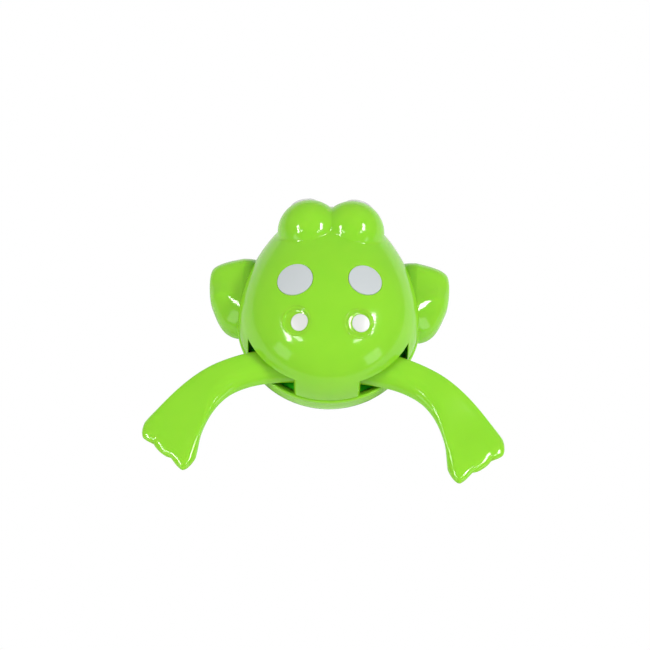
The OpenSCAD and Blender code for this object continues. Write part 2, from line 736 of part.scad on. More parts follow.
// Motor: base plate with ears, a tongue under the crank, and axle holes
ear_r = small_screw_d / 2 + wall * 0.8;
ear_x = cover_w / 2 + ear_r - gap;
ear_places = [[ear_x, arbor_y - cover_r * 0.75], [ear_x, arbor_y + cover_r * 0.75]];
tongue_w = 2 * (axle_r + wall + gap);

module base_outline() {
    translate([-cover_w / 2, middle_y - wall, 0]) square([cover_w, arbor_y + cover_r - middle_y + wall]);
    translate([-tongue_w / 2, crank_y, 0]) square([tongue_w, middle_y - crank_y]);
    translate([0, crank_y, 0]) circle(r = tongue_w / 2);
    both_sides() for (p = ear_places) {
        translate(p) circle(r = ear_r);
        translate([cover_w / 2 - ear_r, p[1] - ear_r]) square([p[0] - cover_w / 2 + ear_r, 2 * ear_r]);
    }
}

module motor_base() color(ivory) translate([0, 0, motor_z]) difference() {
    linear_extrude(plate_t) base_outline();
    translate([0, arbor_y, -cut]) cylinder(r = arbor_r + fit, h = plate_t + 2 * cut);
    for (y = [middle_y, crank_y])
        translate([0, y, -cut]) cylinder(r = axle_r, h = plate_t + 2 * cut);
    both_sides() for (p = ear_places)
        translate([p[0], p[1], -cut]) cylinder(r = small_screw_d / 2 + fit, h = plate_t + 2 * cut);
    translate([post_place[0], post_place[1], -cut]) cylinder(r = axle_r, h = plate_t + 2 * cut);
}

// Post that holds the outer end of the mainspring
spring_out_r = pitch_r(great_teeth) - wall / 2 - axle_d;
post_place = [cover_w / 2 - cover_wall - gap - axle_r, arbor_y + cover_r - cover_wall - gap - axle_r];
module spring_post() color(steel) translate([post_place[0], post_place[1], motor_z])
    cylinder(r = axle_r, h = spring_z + spring_h - motor_z);

// Motor cover: an open box with ears, holes for arbor and axle, and a window for the middle wheel
window_w = 2 * pitch_r(middle_teeth) + 4 * gear_m;
module motor_cover() color(ivory) translate([0, 0, base_top]) difference() {
    union() {
        translate([-cover_w / 2, middle_y - wall, 0])
            cube([cover_w, arbor_y + cover_r - middle_y + wall, cover_h]);
        both_sides() for (p = ear_places) {
            translate([p[0], p[1], 0]) cylinder(r = ear_r, h = plate_t);
            translate([cover_w / 2 - ear_r, p[1] - ear_r, 0]) cube([p[0] - cover_w / 2 + ear_r, 2 * ear_r, plate_t]);
        }
    }
    translate([-cover_w / 2 + cover_wall, middle_y - wall + cover_wall, -cut])
        cube([cover_w - 2 * cover_wall, arbor_y + cover_r - middle_y + wall - 2 * cover_wall, cover_h - plate_t + cut]);
    translate([-window_w / 2, middle_y - wall - cut, -cut])
        cube([window_w, wall + cut, great_top - base_top + clear + cut]);
    translate([0, arbor_y, 0]) cylinder(r = arbor_r + fit, h = cover_h + cut);
    translate([0, middle_y, 0]) cylinder(r = axle_r, h = cover_h + cut);
    both_sides() for (p = ear_places)
        translate([p[0], p[1], -cut]) cylinder(r = small_screw_d / 2 + fit, h = plate_t + 2 * cut);
}

module motor_screws() color(steel) both_sides() for (p = ear_places)
    translate([p[0], p[1], base_top + plate_t]) mirror([0, 0, 1])
        screw(small_screw_d / 2 - fit, small_screw_d, 2 * plate_t + ear_bite - gap);

// Winding knob: a flange with two flat wings, recessed in the belly's well
module winding_knob() color(white) translate([0, arbor_y, 0]) difference() {
    union() {
        translate([0, 0, knob_top - knob_flange_t]) cylinder(r = knob_r, h = knob_flange_t);
        translate([0, 0, knob_bottom + wing_t]) cylinder(r = arbor_r + wall, h = knob_top - knob_bottom - wing_t);
        intersection() {
            translate([-knob_r, -wing_t / 2, knob_bottom]) cube([2 * knob_r, wing_t, knob_top - knob_bottom]);
            translate([0, 0, knob_bottom]) cylinder(r = knob_r, h = knob_top - knob_bottom);
        }
    }
    translate([0, 0, knob_bottom + wing_t]) cylinder(r = arbor_r, h = knob_top);
    translate([0, 0, knob_bottom - cut]) cylinder(r = knob_screw_r, h = wing_t + 2 * cut);
    translate([0, 0, knob_bottom - cut]) cylinder(r = wing_t * 0.36 + fit, h = knob_screw_sink + cut);
}
knob_screw_r = small_screw_d * 0.35;
knob_screw_sink = 0.8;

module knob_screw() color(steel) translate([0, arbor_y, knob_bottom + knob_screw_sink])
    screw(knob_screw_r - fit, wing_t * 0.36, wing_t + knob_screw_bite - knob_screw_sink);
knob_screw_bite = 2.4;

// Winding arbor: a steel shaft from the knob to the cover, tapped for the knob's screw
module winding_arbor() color(steel) translate([0, arbor_y, knob_bottom + wing_t]) difference() {
    cylinder(r = arbor_r, h = cover_top - knob_bottom - wing_t + gap);
    translate([0, 0, -cut]) cylinder(r = knob_screw_r - fit, h = knob_screw_bite + cut + gap);
}

// Ratchet wheel pressed on the arbor, with teeth that slope one way
ratchet_r = arbor_r + 2 * wall;
ratchet_tooth = wall * 0.5;
module ratchet_wheel() color(brass) translate([0, arbor_y, ratchet_z]) difference() {
    linear_extrude(gear_t) polygon([for (k = [0 : ratchet_teeth - 1], s = [0, 1])
        let (a = 360 * k / ratchet_teeth, r = s == 0 ? ratchet_r : ratchet_r - ratchet_tooth)
        [r * cos(a), r * sin(a)]]);
    translate([0, 0, -cut]) cylinder(r = arbor_r, h = gear_t + 2 * cut);
}

// Pawl on the great wheel: a pivoted hook whose tip drops behind the steep face of a ratchet tooth
pawl_r = wall * 0.9;
pawl_pin_r = axle_r * 0.8;
pawl_place_r = pitch_r(great_teeth) - 1.4 * wall;
tooth_angle = 360 / ratchet_teeth;
// How far the pawl is drawn lifted, in degrees: clear of the teeth, as it is while the knob is wound
pawl_raised = 6;
pawl_tip_at = 4 * tooth_angle + 0.12 * tooth_angle;
pawl_at = 5.6 * tooth_angle;
function polar(r, a) = [r * cos(a), r * sin(a)];
pawl_pivot = polar(pawl_place_r, pawl_at);
pawl_tip = polar(ratchet_r - ratchet_tooth * 0.88 + gap, pawl_tip_at);
pawl_bend_in = polar(ratchet_r + gap * 1.5, pawl_tip_at + 0.42 * tooth_angle);
pawl_bend_out = polar(ratchet_r + wall * 0.7, pawl_tip_at + 0.16 * tooth_angle);
pawl_heading = atan2(pawl_tip[1] - pawl_pivot[1], pawl_tip[0] - pawl_pivot[0]);
module pawl() color(brass) translate([pawl_pivot[0], arbor_y + pawl_pivot[1], ratchet_z])
rotate(pawl_raised) translate([-pawl_pivot[0], -pawl_pivot[1], 0]) difference() {
    linear_extrude(gear_t) union() {
        translate(pawl_pivot) circle(r = pawl_r);
        polygon([
            pawl_tip,
            pawl_bend_out,
            pawl_pivot + polar(pawl_r, pawl_heading + 90),
            pawl_pivot + polar(pawl_r, pawl_heading - 90),
            pawl_bend_in
        ]);
    }
    translate([pawl_pivot[0], pawl_pivot[1], -cut]) cylinder(r = pawl_pin_r + fit, h = gear_t + 2 * cut);
}

// Leaf spring on the great wheel, its free end over the pawl's back
pawl_spring_t = 0.3;
leaf_steps = 10;
leaf_end_at = pawl_tip_at + tooth_angle / 2;
leaf_post_at = pawl_tip_at - tooth_angle;
leaf_angles = [for (i = [0 : leaf_steps]) leaf_post_at + (leaf_end_at - leaf_post_at) * i / leaf_steps];
module pawl_spring() color(steel) translate([0, arbor_y, ratchet_z + gear_t * 0.2]) linear_extrude(gear_t * 0.6)
    polygon(concat(
        [for (a = leaf_angles) polar(pawl_place_r, a)],
        [for (i = [leaf_steps : -1 : 0]) polar(pawl_place_r + pawl_spring_t, leaf_angles[i])]
    ));

// Great wheel: drives the train, carries the pawl's pin and the leaf spring's post
module great_wheel() color(white) translate([0, arbor_y, 0]) difference() {
    union() {
        translate([0, 0, high_z]) gear(great_teeth, pinion_t, -90);
        translate([0, 0, high_z - clear / 2]) cylinder(r = arbor_r + wall, h = pinion_t + clear / 2);
        translate([pawl_pivot[0], pawl_pivot[1], high_z]) cylinder(r = pawl_pin_r, h = pinion_t + gap + gear_t);
        rotate(leaf_post_at) translate([pawl_place_r, 0, high_z]) leaf_post();
    }
    translate([0, 0, high_z - cut]) cylinder(r = arbor_r + fit, h = pinion_t + 2 * cut);
}
module leaf_post() {
    translate([-wall / 2 - fit, -wall / 2, 0]) cube([wall / 2, wall, pinion_t + gap + gear_t * 0.8]);
}

// Middle gear: a large wheel below, a pinion above, on a fixed axle
module middle_gear() color(white) translate([0, middle_y, 0]) difference() {
    union() {
        translate([0, 0, low_z]) gear(middle_teeth, gear_t, -90);
        translate([0, 0, low_z + gear_t / 2]) gear(middle_pinion_teeth, high_z + pinion_t - low_z - gear_t / 2,
            90 + 180 / middle_pinion_teeth);
    }
    translate([0, 0, low_z - cut]) cylinder(r = axle_r + fit, h = high_z + pinion_t - low_z + 2 * cut);
}

module middle_axle() color(steel) translate([0, middle_y, motor_z])
    cylinder(r = axle_r, h = cover_top - motor_z);

// Crank wheel: a pinion with a disc that carries the crank pin
module crank_wheel() color(white) translate([0, crank_y, 0]) difference() {
    union() {
        translate([0, 0, low_z]) gear(crank_pinion_teeth, gear_t, 90 + 180 / crank_pinion_teeth);
        translate([0, 0, crank_disc_z]) cylinder(r = crank_disc_r, h = crank_disc_t);
    }
    translate([0, 0, low_z - cut]) cylinder(r = axle_r + fit, h = crank_disc_top - low_z - cut / 2);
    translate([crank_pin_x, crank_pin_y, crank_disc_z]) cylinder(r = crank_pin_r, h = crank_disc_t + cut);
}

module crank_axle() color(steel) translate([0, crank_y, motor_z])
    cylinder(r = axle_r, h = crank_disc_top - cut - motor_z - gap);

// Crank pin: stands under the levers' slots, its top just short of the lower lever
module crank_pin() color(steel) translate([crank_pin_x, crank_y + crank_pin_y, crank_disc_z])
    cylinder(r = crank_pin_r, h = lower_lever_z - gap - crank_disc_z);

// Mainspring: a flat strip wound outwards from the arbor to its post
spring_in_r = arbor_r + gap + fit;
spring_steps = 24;
function spiral_r(a) = spring_in_r + (spring_out_r - spring_in_r) * a / (360 * spring_turns);
spring_list = [for (i = [0 : spring_steps * spring_turns]) 360 * i / spring_steps];
spring_end_at = 45;
// Where the strip turns outwards, and its straight tail that ends just short of the post
turn_out = polar(spring_out_r, spring_end_at + asin(spring_t / spring_out_r));
tail_path = post_place - [0, arbor_y] - turn_out;
tail_way = unit(tail_path);
tail_end = turn_out + tail_way * (norm(tail_path) - axle_r - fit);
module mainspring() color(steel) translate([0, arbor_y, spring_z]) linear_extrude(spring_h) polygon(concat(
    [for (a = spring_list) polar(spiral_r(a), a + spring_end_at)],
    [turn_out, tail_end, tail_end + spring_t * [tail_way[1], -tail_way[0]]],
    [for (i = [len(spring_list) - 1 : -1 : 0]) let (a = spring_list[i])
        polar(spiral_r(a) + spring_t, a + spring_end_at)]
));

upper_shell();
lower_shell();
back_spots();
dimple_dots();
eye_whites();
pupils();
left_arm();
right_arm();
left_leg();
right_leg();
hip_pins();
hip_washers();
shell_screws();
motor_base();
motor_cover();
motor_screws();
winding_knob();
winding_arbor();
knob_screw();
ratchet_wheel();
pawl();
pawl_spring();
mainspring();
spring_post();
great_wheel();
middle_gear();
middle_axle();
crank_wheel();
crank_axle();
crank_pin();
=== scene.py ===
"""Dresses the wind-up swimming frog: smooth moulded shells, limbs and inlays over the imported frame."""
import math
import bpy
import numpy as np
from mathutils import Matrix, Vector


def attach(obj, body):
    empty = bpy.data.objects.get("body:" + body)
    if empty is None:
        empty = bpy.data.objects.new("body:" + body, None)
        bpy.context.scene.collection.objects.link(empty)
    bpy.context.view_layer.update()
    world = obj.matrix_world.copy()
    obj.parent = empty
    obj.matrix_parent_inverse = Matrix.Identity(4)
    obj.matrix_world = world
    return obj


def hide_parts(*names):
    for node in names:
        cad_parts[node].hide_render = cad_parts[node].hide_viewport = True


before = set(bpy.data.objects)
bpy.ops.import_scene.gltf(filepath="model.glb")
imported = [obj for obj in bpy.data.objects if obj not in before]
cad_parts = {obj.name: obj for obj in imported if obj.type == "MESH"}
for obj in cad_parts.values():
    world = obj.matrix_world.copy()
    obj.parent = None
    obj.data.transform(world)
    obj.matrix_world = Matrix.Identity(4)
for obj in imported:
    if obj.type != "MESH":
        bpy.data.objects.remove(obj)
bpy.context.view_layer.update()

MM = 0.001
BODY = "frog_body"

# The body's values are those of the part's source, and all lengths are millimetres unless a name says else.
# Half width, and the lengths behind and ahead of the middle
HALF_W, TAIL, NOSE = 31.6, 31.6, 43.8
# Height of the belly's rim and depth of its curve, lowest height of the back and its rise
BELLY_H, BELLY_DEPTH, SEAM_Z, DOME_H = 16.0, 18.5, 17.5, 24.5
# Exponents of the rounded square curves that the back and the belly follow
DOME_N, BELLY_N = 2.3, 2.4
WALL = 1.8
# Leg slots: how far their two ends stand from the middle plane, and the height of their top
SLOT_IN, SLOT_OUT, SLOT_TOP = 10.6, 27.3, 25.8
# Middle of the right eye mound, its radius, and the radii of the white and the pupil on it
EYE = np.array([7.4, 27.5, 31.9])
EYE_R, EYE_WHITE_R, PUPIL_R = 11.3, 5.28, 2.68
# Radius of the dots on the dimples' floors
DOT_R = 3.15
# The knob, its arbor and its well stand on one upright axis
ARBOR_Y, WELL_R, WELL_TOP = 4.0, 12.5, 9.0
# Hip of the right leg, and how far both legs are turned the same way about their hips at rest, in degrees
HIP, LEG_SKEW = (11.5, -19.5), -1.9
# Peg of each arm: its place and radius, the distances of its two ends from the middle plane, those of its
# hole's ends, and the gap round it
PEG_Y, PEG_Z, PEG_R = 2, 11, 3
PEG_ENDS, PEG_HOLE_ENDS, PEG_GAP = (27.22, 33.6), (26.9, 36), 0.05
# Shell screws and drain holes: places, radii of their holes through the belly, and the height of the seats
# of the screws' heads
SCREWS = [(sx * x, y) for x, y in ((15.17, 26.28), (23.38, -1.58)) for sx in (1, -1)]
DRAINS = [(sx * 11.38, -11.5) for sx in (1, -1)]
SCREW_HOLE_R, DRAIN_R, SCREW_SEAT = 2.45, 1.2, 8.0
# Point deep in the body from which the eye mounds are pushed out
CORE = np.array([0, 8.0, 6.0])
# Widths of the rounding between the two eye mounds, and between them and the back
MOUNDS_CREASE, BACK_CREASE = 0.6, 0.5
# How far along its axis a recess takes points, so that the far side of the body stays as it is
SINK_REACH = 6
# Rounds of halving in a search by angle
HALVINGS = 22


def power(x, n):
    """Power of the size of a number, with its sign kept."""
    return np.sign(x) * np.abs(x) ** n


def smooth(t):
    """Eased step from 0 to 1."""
    t = np.clip(t, 0, 1)
    return t * t * (3 - 2 * t)


def unit(v):
    """Direction of a vector, or of each in an array."""
    return v / np.maximum(np.linalg.norm(v, axis=-1, keepdims=True), 1e-12)


def soft_max(a, b, h):
    """The larger of two values, rounded over where they differ by less than h."""
    k = np.clip(h - np.abs(a - b), 0, None) / h
    return np.maximum(a, b) + k * k * h / 4


def raw(name, verts, faces):
    """Smooth-shaded mesh object from an array of points in millimetres and lists of face index arrays."""
    mesh = bpy.data.meshes.new(name)
    verts = np.asarray(verts, float).reshape(-1, 3) * MM
    faces = [np.asarray(f, np.int32) for f in faces if len(f)]
    mesh.vertices.add(len(verts))
    mesh.vertices.foreach_set("co", verts.ravel())
    loops = np.concatenate([f.ravel() for f in faces])
    sizes = np.concatenate([np.full(len(f), f.shape[1]) for f in faces])
    mesh.loops.add(len(loops))
    mesh.loops.foreach_set("vertex_index", loops)
    mesh.polygons.add(len(sizes))
    mesh.polygons.foreach_set("loop_start", np.concatenate([[0], np.cumsum(sizes)[:-1]]).astype(np.int32))
    mesh.polygons.foreach_set("use_smooth", np.ones(len(sizes), bool))
    mesh.update(calc_edges=True)
    mesh.validate()
    obj = bpy.data.objects.new(name, mesh)
    bpy.context.scene.collection.objects.link(obj)
    return obj


def cut(obj, tools):
    """Cuts closed solids out of an object and keeps the result as its mesh."""
    tool = raw("tool", *merged(tools))
    step = obj.modifiers.new("cut", "BOOLEAN")
    step.operation, step.solver, step.object = "DIFFERENCE", "EXACT", tool
    new = bpy.data.meshes.new_from_object(obj.evaluated_get(bpy.context.evaluated_depsgraph_get()))
    obj.modifiers.clear()
    old, spent, obj.data = obj.data, tool.data, new
    bpy.data.objects.remove(tool)
    bpy.data.meshes.remove(spent)
    bpy.data.meshes.remove(old)


def build(name, verts, faces, material, slot, sharp, body=BODY, tools=()):
    """Piece of the toy: a mesh with its cuts, edges sharp above an angle, its material and its body."""
    obj = raw(name, verts, faces)
    if tools:
        cut(obj, tools)
    obj.data.set_sharp_from_angle(angle=math.radians(sharp))
    obj.data.materials.clear()
    obj.data.materials.append(material)
    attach(obj, body)
    return obj


def merged(parts):
    """One list of points and faces from several."""
    verts, faces, n = [], [], 0
    for v, f in parts:
        v = np.asarray(v, float).reshape(-1, 3)
        verts.append(v)
        faces += [np.asarray(q) + n for q in f if len(q)]
        n += len(v)
    return np.concatenate(verts), faces


def flipped(faces):
    """Faces with their order turned round, as a mirrored copy needs them."""
    return [np.asarray(f)[:, ::-1] for f in faces]


def around(cols):
    """Angles of one turn in equal steps, from 0."""
    return np.linspace(0, 2 * math.pi, cols, endpoint=False)


def half_steps(cols):
    """Cosine and downward sine round one turn in equal steps, from half a step, as one row each."""
    a = 2 * math.pi * (np.arange(cols) + 0.5) / cols
    return np.cos(a)[None, :], -np.sin(a)[None, :]


def grid_faces(rows, cols, start=0):
    """Quads of a grid of points stored row by row and closed round its columns."""
    j, i = np.meshgrid(np.arange(rows - 1), np.arange(cols), indexing="ij")
    k = (i + 1) % cols
    quads = np.stack([j * cols + i, j * cols + k, (j + 1) * cols + k, (j + 1) * cols + i], -1)
    return start + quads.reshape(-1, 4)


def fan(ring, tip, flip=False):
    """Triangles from a ring of indices to one point."""
    ring = np.asarray(ring)
    nxt = np.roll(ring, -1)
    t = np.stack([ring, nxt, np.full(len(ring), tip)], -1)
    return t[:, ::-1] if flip else t


def closed_loft(rings):
    """Points and faces of a closed solid through rings, each end closed to its middle point."""
    rows, cols = rings.shape[:2]
    verts = np.concatenate([rings.reshape(-1, 3), [rings[0].mean(0)], [rings[-1].mean(0)]])
    first, last, tip = np.arange(cols), (rows - 1) * cols + np.arange(cols), rows * cols
    return verts, [grid_faces(rows, cols), fan(first, tip, True), fan(last, tip + 1)]


def closed_tube(rings):
    """Points and faces of a closed solid whose rings run on from the last one to the first."""
    rows, cols = rings.shape[:2]
    first, last = np.arange(cols), (rows - 1) * cols + np.arange(cols)
    close = np.stack([last, np.roll(last, -1), np.roll(first, -1), first], -1)
    return rings.reshape(-1, 3), [grid_faces(rows, cols), close]


def plan(a, inset):
    """Plan of the body at an angle from the nose: x is the half width times the sine, y the cosine times
    the tail length, lengthened towards the nose in proportion to the cosine."""
    c = np.cos(a)
    y = c * ((TAIL - inset) + (NOSE - TAIL) * np.maximum(c, 0))
    return (HALF_W - inset) * np.sin(a), y


def level_k(z, height, n):
    """Share of the plan at a height on a rounded square curve of exponent n."""
    return np.clip(1 - np.clip(z / height, 0, 1) ** n, 0, 1) ** (1 / n)


def dome_point(a, z, inset):
    """Point of the back at an angle and a height: the plan times the share at that height."""
    k = level_k(z - SEAM_Z, DOME_H - inset, DOME_N)
    x, y = plan(a, inset)
    return np.stack([k * x, k * y, z + 0 * k * x], -1)


def back_share(x, y):
    """Share of the plan at which a place lies, found by halving the range of angles."""
    lo, hi = np.zeros_like(x), np.full_like(x, math.pi)
    for _ in range(HALVINGS):
        mid = (lo + hi) / 2
        px, py = plan(mid, 0)
        left = px * y - py * np.abs(x) > 0
        hi = np.where(left, mid, hi)
        lo = np.where(left, lo, mid)
    px, py = plan((lo + hi) / 2, 0)
    return np.hypot(x, y) / np.hypot(px, py)


def back_z(x, y):
    """Height of the back over a place of the plan."""
    s = np.clip(back_share(x, y), 0, 1)
    return SEAM_Z + DOME_H * (1 - s ** DOME_N) ** (1 / DOME_N)


def back_frame(x, y):
    """Point on the back, two directions along it, the first across the body, and one square to it. The slopes
    are differences of the height over a small step."""
    h = 0.05

    def height(px, py):
        """Height of the back over one place."""
        return float(back_z(np.array(px), np.array(py)))

    p = np.array([x, y, height(x, y)])
    sx = (height(x + h, y) - height(x - h, y)) / (2 * h)
    sy = (height(x, y + h) - height(x, y - h)) / (2 * h)
    n = unit(np.array([-sx, -sy, 1.0]))
    u = unit(np.array([1.0, 0, sx]))
    u = unit(u - n * (u @ n))
    return p, u, np.cross(n, u), n


# Spots and dimples, right and left. They differ a little from side to side, as in the photograph. The dots
# stand a little off the dimples' middles: DOT_SHIFT towards the right side and DOT_RISE forwards.
SPOTS = [back_frame(12.2, 3.3), back_frame(-12.0, 2.8)]
SPOT_R = (5.85, 6.2)
DIMPLES = [back_frame(10.25, -13.2), back_frame(-11.1, -12.7)]
DOT_SHIFT = (0.85, 1.1)
DOT_RISE = (0.35, -0.5)


def gaze(side):
    """Frame of an eye: its middle, two directions across the gaze and the gaze."""
    turn, tilt = math.radians(12), math.radians(4)
    g = np.array([side * math.sin(turn) * math.cos(tilt), math.cos(turn) * math.cos(tilt), math.sin(tilt)])
    u = unit(np.cross(g, [0, 0, 1.0]))
    return EYE * [side, 1, 1], u, np.cross(g, u), g


EYES = [gaze(1), gaze(-1)]


def with_eyes(p):
    """Pushes points of the back out to the eye mounds along rays from a point deep in the body. Where a ray
    leaves a mound farther out than the back, the mound wins, rounded over in the crease between them."""
    ray = p - CORE
    dist = np.linalg.norm(ray, axis=-1)
    ray = ray / dist[..., None]
    eyes = []
    for e, _, _, _ in EYES:
        b = ray @ (e - CORE)
        root = b * b - (np.sum((e - CORE) ** 2) - EYE_R ** 2)
        eyes.append(np.where(root > 0, b + np.sqrt(np.maximum(root, 0)), 0.0))
    both = soft_max(eyes[0], eyes[1], MOUNDS_CREASE)
    return CORE + ray * soft_max(dist, both, BACK_CREASE)[..., None]


def sink(p, normal, middle, axis, radius, depth, wall):
    """Lowers points near a middle by a depth, inside a radius about the axis, with an eased wall."""
    d = p - middle
    h = d @ axis
    r = np.linalg.norm(d - h[..., None] * axis, axis=-1)
    near = np.abs(h) < SINK_REACH
    return p - normal * (depth * smooth((radius + wall / 2 - r) / wall) * near)[..., None]


def grid_normals(p):
    """Normals of a grid of points closed round its columns, by central differences."""
    du = np.roll(p, -1, 1) - np.roll(p, 1, 1)
    dv = np.gradient(p, axis=0)
    return unit(np.cross(du, dv))


def upper_shell():
    """The back: rings of the plan by height, eye mounds pushed out, recesses sunk in, and the two leg slots
    left open with their edges rolled over to an inner skin one wall thickness in."""
    edge, slot_lean = 0.35, 0.9
    n_front, n_slot, n_back = 108, 34, 26
    slot_rows, outer_rows, inner_rows, rim_rows = 16, 200, 26, 4
    half = np.cumsum([0] + [n_front, n_slot, n_back])

    def angles(z, d, inset):
        """Angles of each ring's points, bunched so that columns follow both ends of a slot grown by d."""
        k = level_k(np.minimum(z, SLOT_TOP + 1) - SEAM_Z, DOME_H - inset, DOME_N) * (HALF_W - inset)
        outer = math.pi - np.arcsin(np.minimum((SLOT_OUT + d) / k, 0.999))
        inner = math.pi - np.arcsin((SLOT_IN - d + slot_lean * inset / WALL) / k)
        parts = [np.linspace(0 * outer, outer, n_front, endpoint=False),
                 np.linspace(outer, inner, n_slot, endpoint=False),
                 np.linspace(inner, np.full_like(inner, math.pi), n_back, endpoint=False)]
        right = np.concatenate(parts, 0).T
        last = np.full((len(z), 1), math.pi)
        return np.concatenate([right, last, 2 * math.pi - right[:, :0:-1]], 1)

    def heights(d, inset, rows):
        """Heights of the rings: even up to a slot's top grown by d, then closer together upwards."""
        z0, z1, top = SEAM_Z + d, SLOT_TOP + d, SEAM_Z + DOME_H - inset
        first = np.linspace(z0, z1, slot_rows, endpoint=False)
        t1 = math.asin(((z1 - SEAM_Z) / (DOME_H - inset)) ** (DOME_N / 2))
        t = np.linspace(t1, math.pi / 2, rows + 1)[:-1]
        return np.concatenate([first, SEAM_Z + (top - SEAM_Z) * np.sin(t) ** (2 / DOME_N)])

    def skin(d, inset, rows):
        """Grid of points of the back, an inset in from its outside, with the slots grown by d."""
        z = heights(d, inset, rows)
        return dome_point(angles(z, d, inset), z[:, None], inset)

    out = with_eyes(skin(edge, 0, outer_rows))
    nrm = grid_normals(out)
    nrm *= np.sign(np.sum(nrm * (out - CORE), -1, keepdims=True))
    # Recesses: radius, depth and width of the wall
    for (p, _, _, n), r in zip(SPOTS, SPOT_R):
        out = sink(out, nrm, p, n, r + 0.1, 0.75, 0.35)
    for p, _, _, n in DIMPLES:
        out = sink(out, nrm, p, n, 4.6, 1.6, 0.8)
    for p, _, _, g in EYES:
        out = sink(out, nrm, p + g * EYE_R, g, 5.35, 0.7, 0.35)
    inn = skin(edge, WALL, inner_rows)
    cols = out.shape[1]
    # Border round the rim and the slots, as rows and columns of the grid; c holds the slots' columns
    c = [(half[1], half[2]), (cols - half[2], cols - half[1])]
    border = []
    for i0, i1, nxt in [(0, c[0][0], c[0]), (c[0][1], c[1][0], c[1]), (c[1][1], cols, None)]:
        border += [(0, i % cols) for i in range(i0, i1)]
        if nxt:
            border += [(j, nxt[0]) for j in range(0, slot_rows)]
            border += [(slot_rows, i) for i in range(nxt[0], nxt[1])]
            border += [(j, nxt[1]) for j in range(slot_rows, 0, -1)]
    border = np.array(border)
    # The edge rolls over in steps: the share of the edge's width left, and of the way to the inner skin
    loops = []
    steps = [(0.72, 0.02), (0.45, 0.06), (0.2, 0.12), (0, 0.22), (0, 0.8), (0.3, 0.94)]
    for d, f in steps:
        a, b = skin(d * edge, 0, rim_rows), skin(d * edge, WALL, rim_rows)
        a, b = a[border[:, 0], border[:, 1]], b[border[:, 0], border[:, 1]]
        loops.append(a + (b - a) * f)
    n_out, n_inn = out.shape[0] * cols, inn.shape[0] * cols
    verts = np.concatenate([out.reshape(-1, 3), inn.reshape(-1, 3), *loops,
                            [[0, 0, SEAM_Z + DOME_H]], [[0, 0, SEAM_Z + DOME_H - WALL]]])

    def cells(n_rows, start, flip):
        """Quads of a skin without those that lie in the slots."""
        f = grid_faces(n_rows, cols, start)
        cell = np.arange(len(f))
        row, col = cell // cols, cell % cols
        in_slot = np.any([(col >= i0) & (col < i1) for i0, i1 in c], axis=0)
        f = f[~((row < slot_rows) & in_slot)]
        return f[:, ::-1] if flip else f

    outer_loop, n_edge = border[:, 0] * cols + border[:, 1], len(border)
    chain = [n_out + n_inn + k * n_edge + np.arange(n_edge) for k in range(len(steps))]
    chain = [outer_loop, *chain, n_out + outer_loop]
    strips = [np.stack([np.roll(a, -1), a, b, np.roll(b, -1)], -1) for a, b in zip(chain, chain[1:])]
    tip = len(verts) - 2
    top_out = (out.shape[0] - 1) * cols + np.arange(cols)
    top_inn = n_out + (inn.shape[0] - 1) * cols + np.arange(cols)
    quads = np.concatenate([cells(out.shape[0], 0, False), cells(inn.shape[0], n_out, True), *strips])
    # The plan's angles run from the nose towards +X, which is clockwise seen from above
    return verts, [quads[:, ::-1], fan(top_out, tip, True), fan(top_inn, tip + 1)]


def dimple(fr):
    """Lining of a dimple about its own axis: it leaves the back's surface with a low lip, goes down a chamfer
    and a steep wall, and runs over a dished floor. Each ring lies a depth below the back's curve, below the
    flat plane at the dimple's middle, or between the two by a share."""
    p, u, w, n = fr
    on_back = spot_surface(fr)
    # Rows of radius, depth and the share of the flat plane
    prof = np.array([
        (5.30, 0.03, 0), (5.05, -0.015, 0), (4.96, -0.03, 0), (4.90, -0.03, 0), (4.85, -0.015, 0),
        (4.75, 0.035, 0), (4.62, 0.105, 0), (4.50, 0.17, 0.03), (4.40, 0.225, 0.1), (4.34, 0.28, 0.2),
        (4.30, 0.36, 0.4), (4.27, 0.45, 0.6), (4.23, 0.56, 0.85), (4.17, 0.66, 1), (4.07, 0.735, 1),
        (3.9, 0.79, 1), (3.6, 0.86, 1), (3.3, 0.92, 1), (2.9, 0.97, 1), (2.3, 1.0, 1), (1.3, 1.0, 1),
        (0.3, 1.0, 1)])
    under = np.array([(0.3, 1.35, 1), (3.6, 1.35, 1), (4.4, 1.0, 0), (5.3, 0.4, 0)])
    chain = np.concatenate([prof, under])
    cols = 180
    a = around(cols)
    r, h, flat = chain[:, :1], chain[:, 1:2], chain[:, 2:]
    x, y = r * np.cos(a), r * np.sin(a)
    curved = on_back(x, y, h + 0 * x)
    plane = p + x[..., None] * u + y[..., None] * w - n * (h + 0 * x)[..., None]
    rings = curved + (plane - curved) * flat[..., None]
    # The floor and the underside are each closed to their middle, so no quads join them there
    top, low = len(prof) - 1, len(prof)
    verts, (quads, close) = closed_tube(rings)
    quads = quads[(quads[:, 0] // cols) != top]
    first, tip = np.arange(cols), len(verts)
    verts = np.concatenate([verts, [rings[top].mean(0)], [rings[low].mean(0)]])
    return verts, [quads, close, fan(top * cols + first, tip), fan(low * cols + first, tip + 1, True)]


def belly_z(x, y):
    """Height of the belly's outside below a place of the plan."""
    return BELLY_H - BELLY_DEPTH * (1 - np.clip(back_share(x, y), 0, 1) ** BELLY_N) ** (1 / BELLY_N)


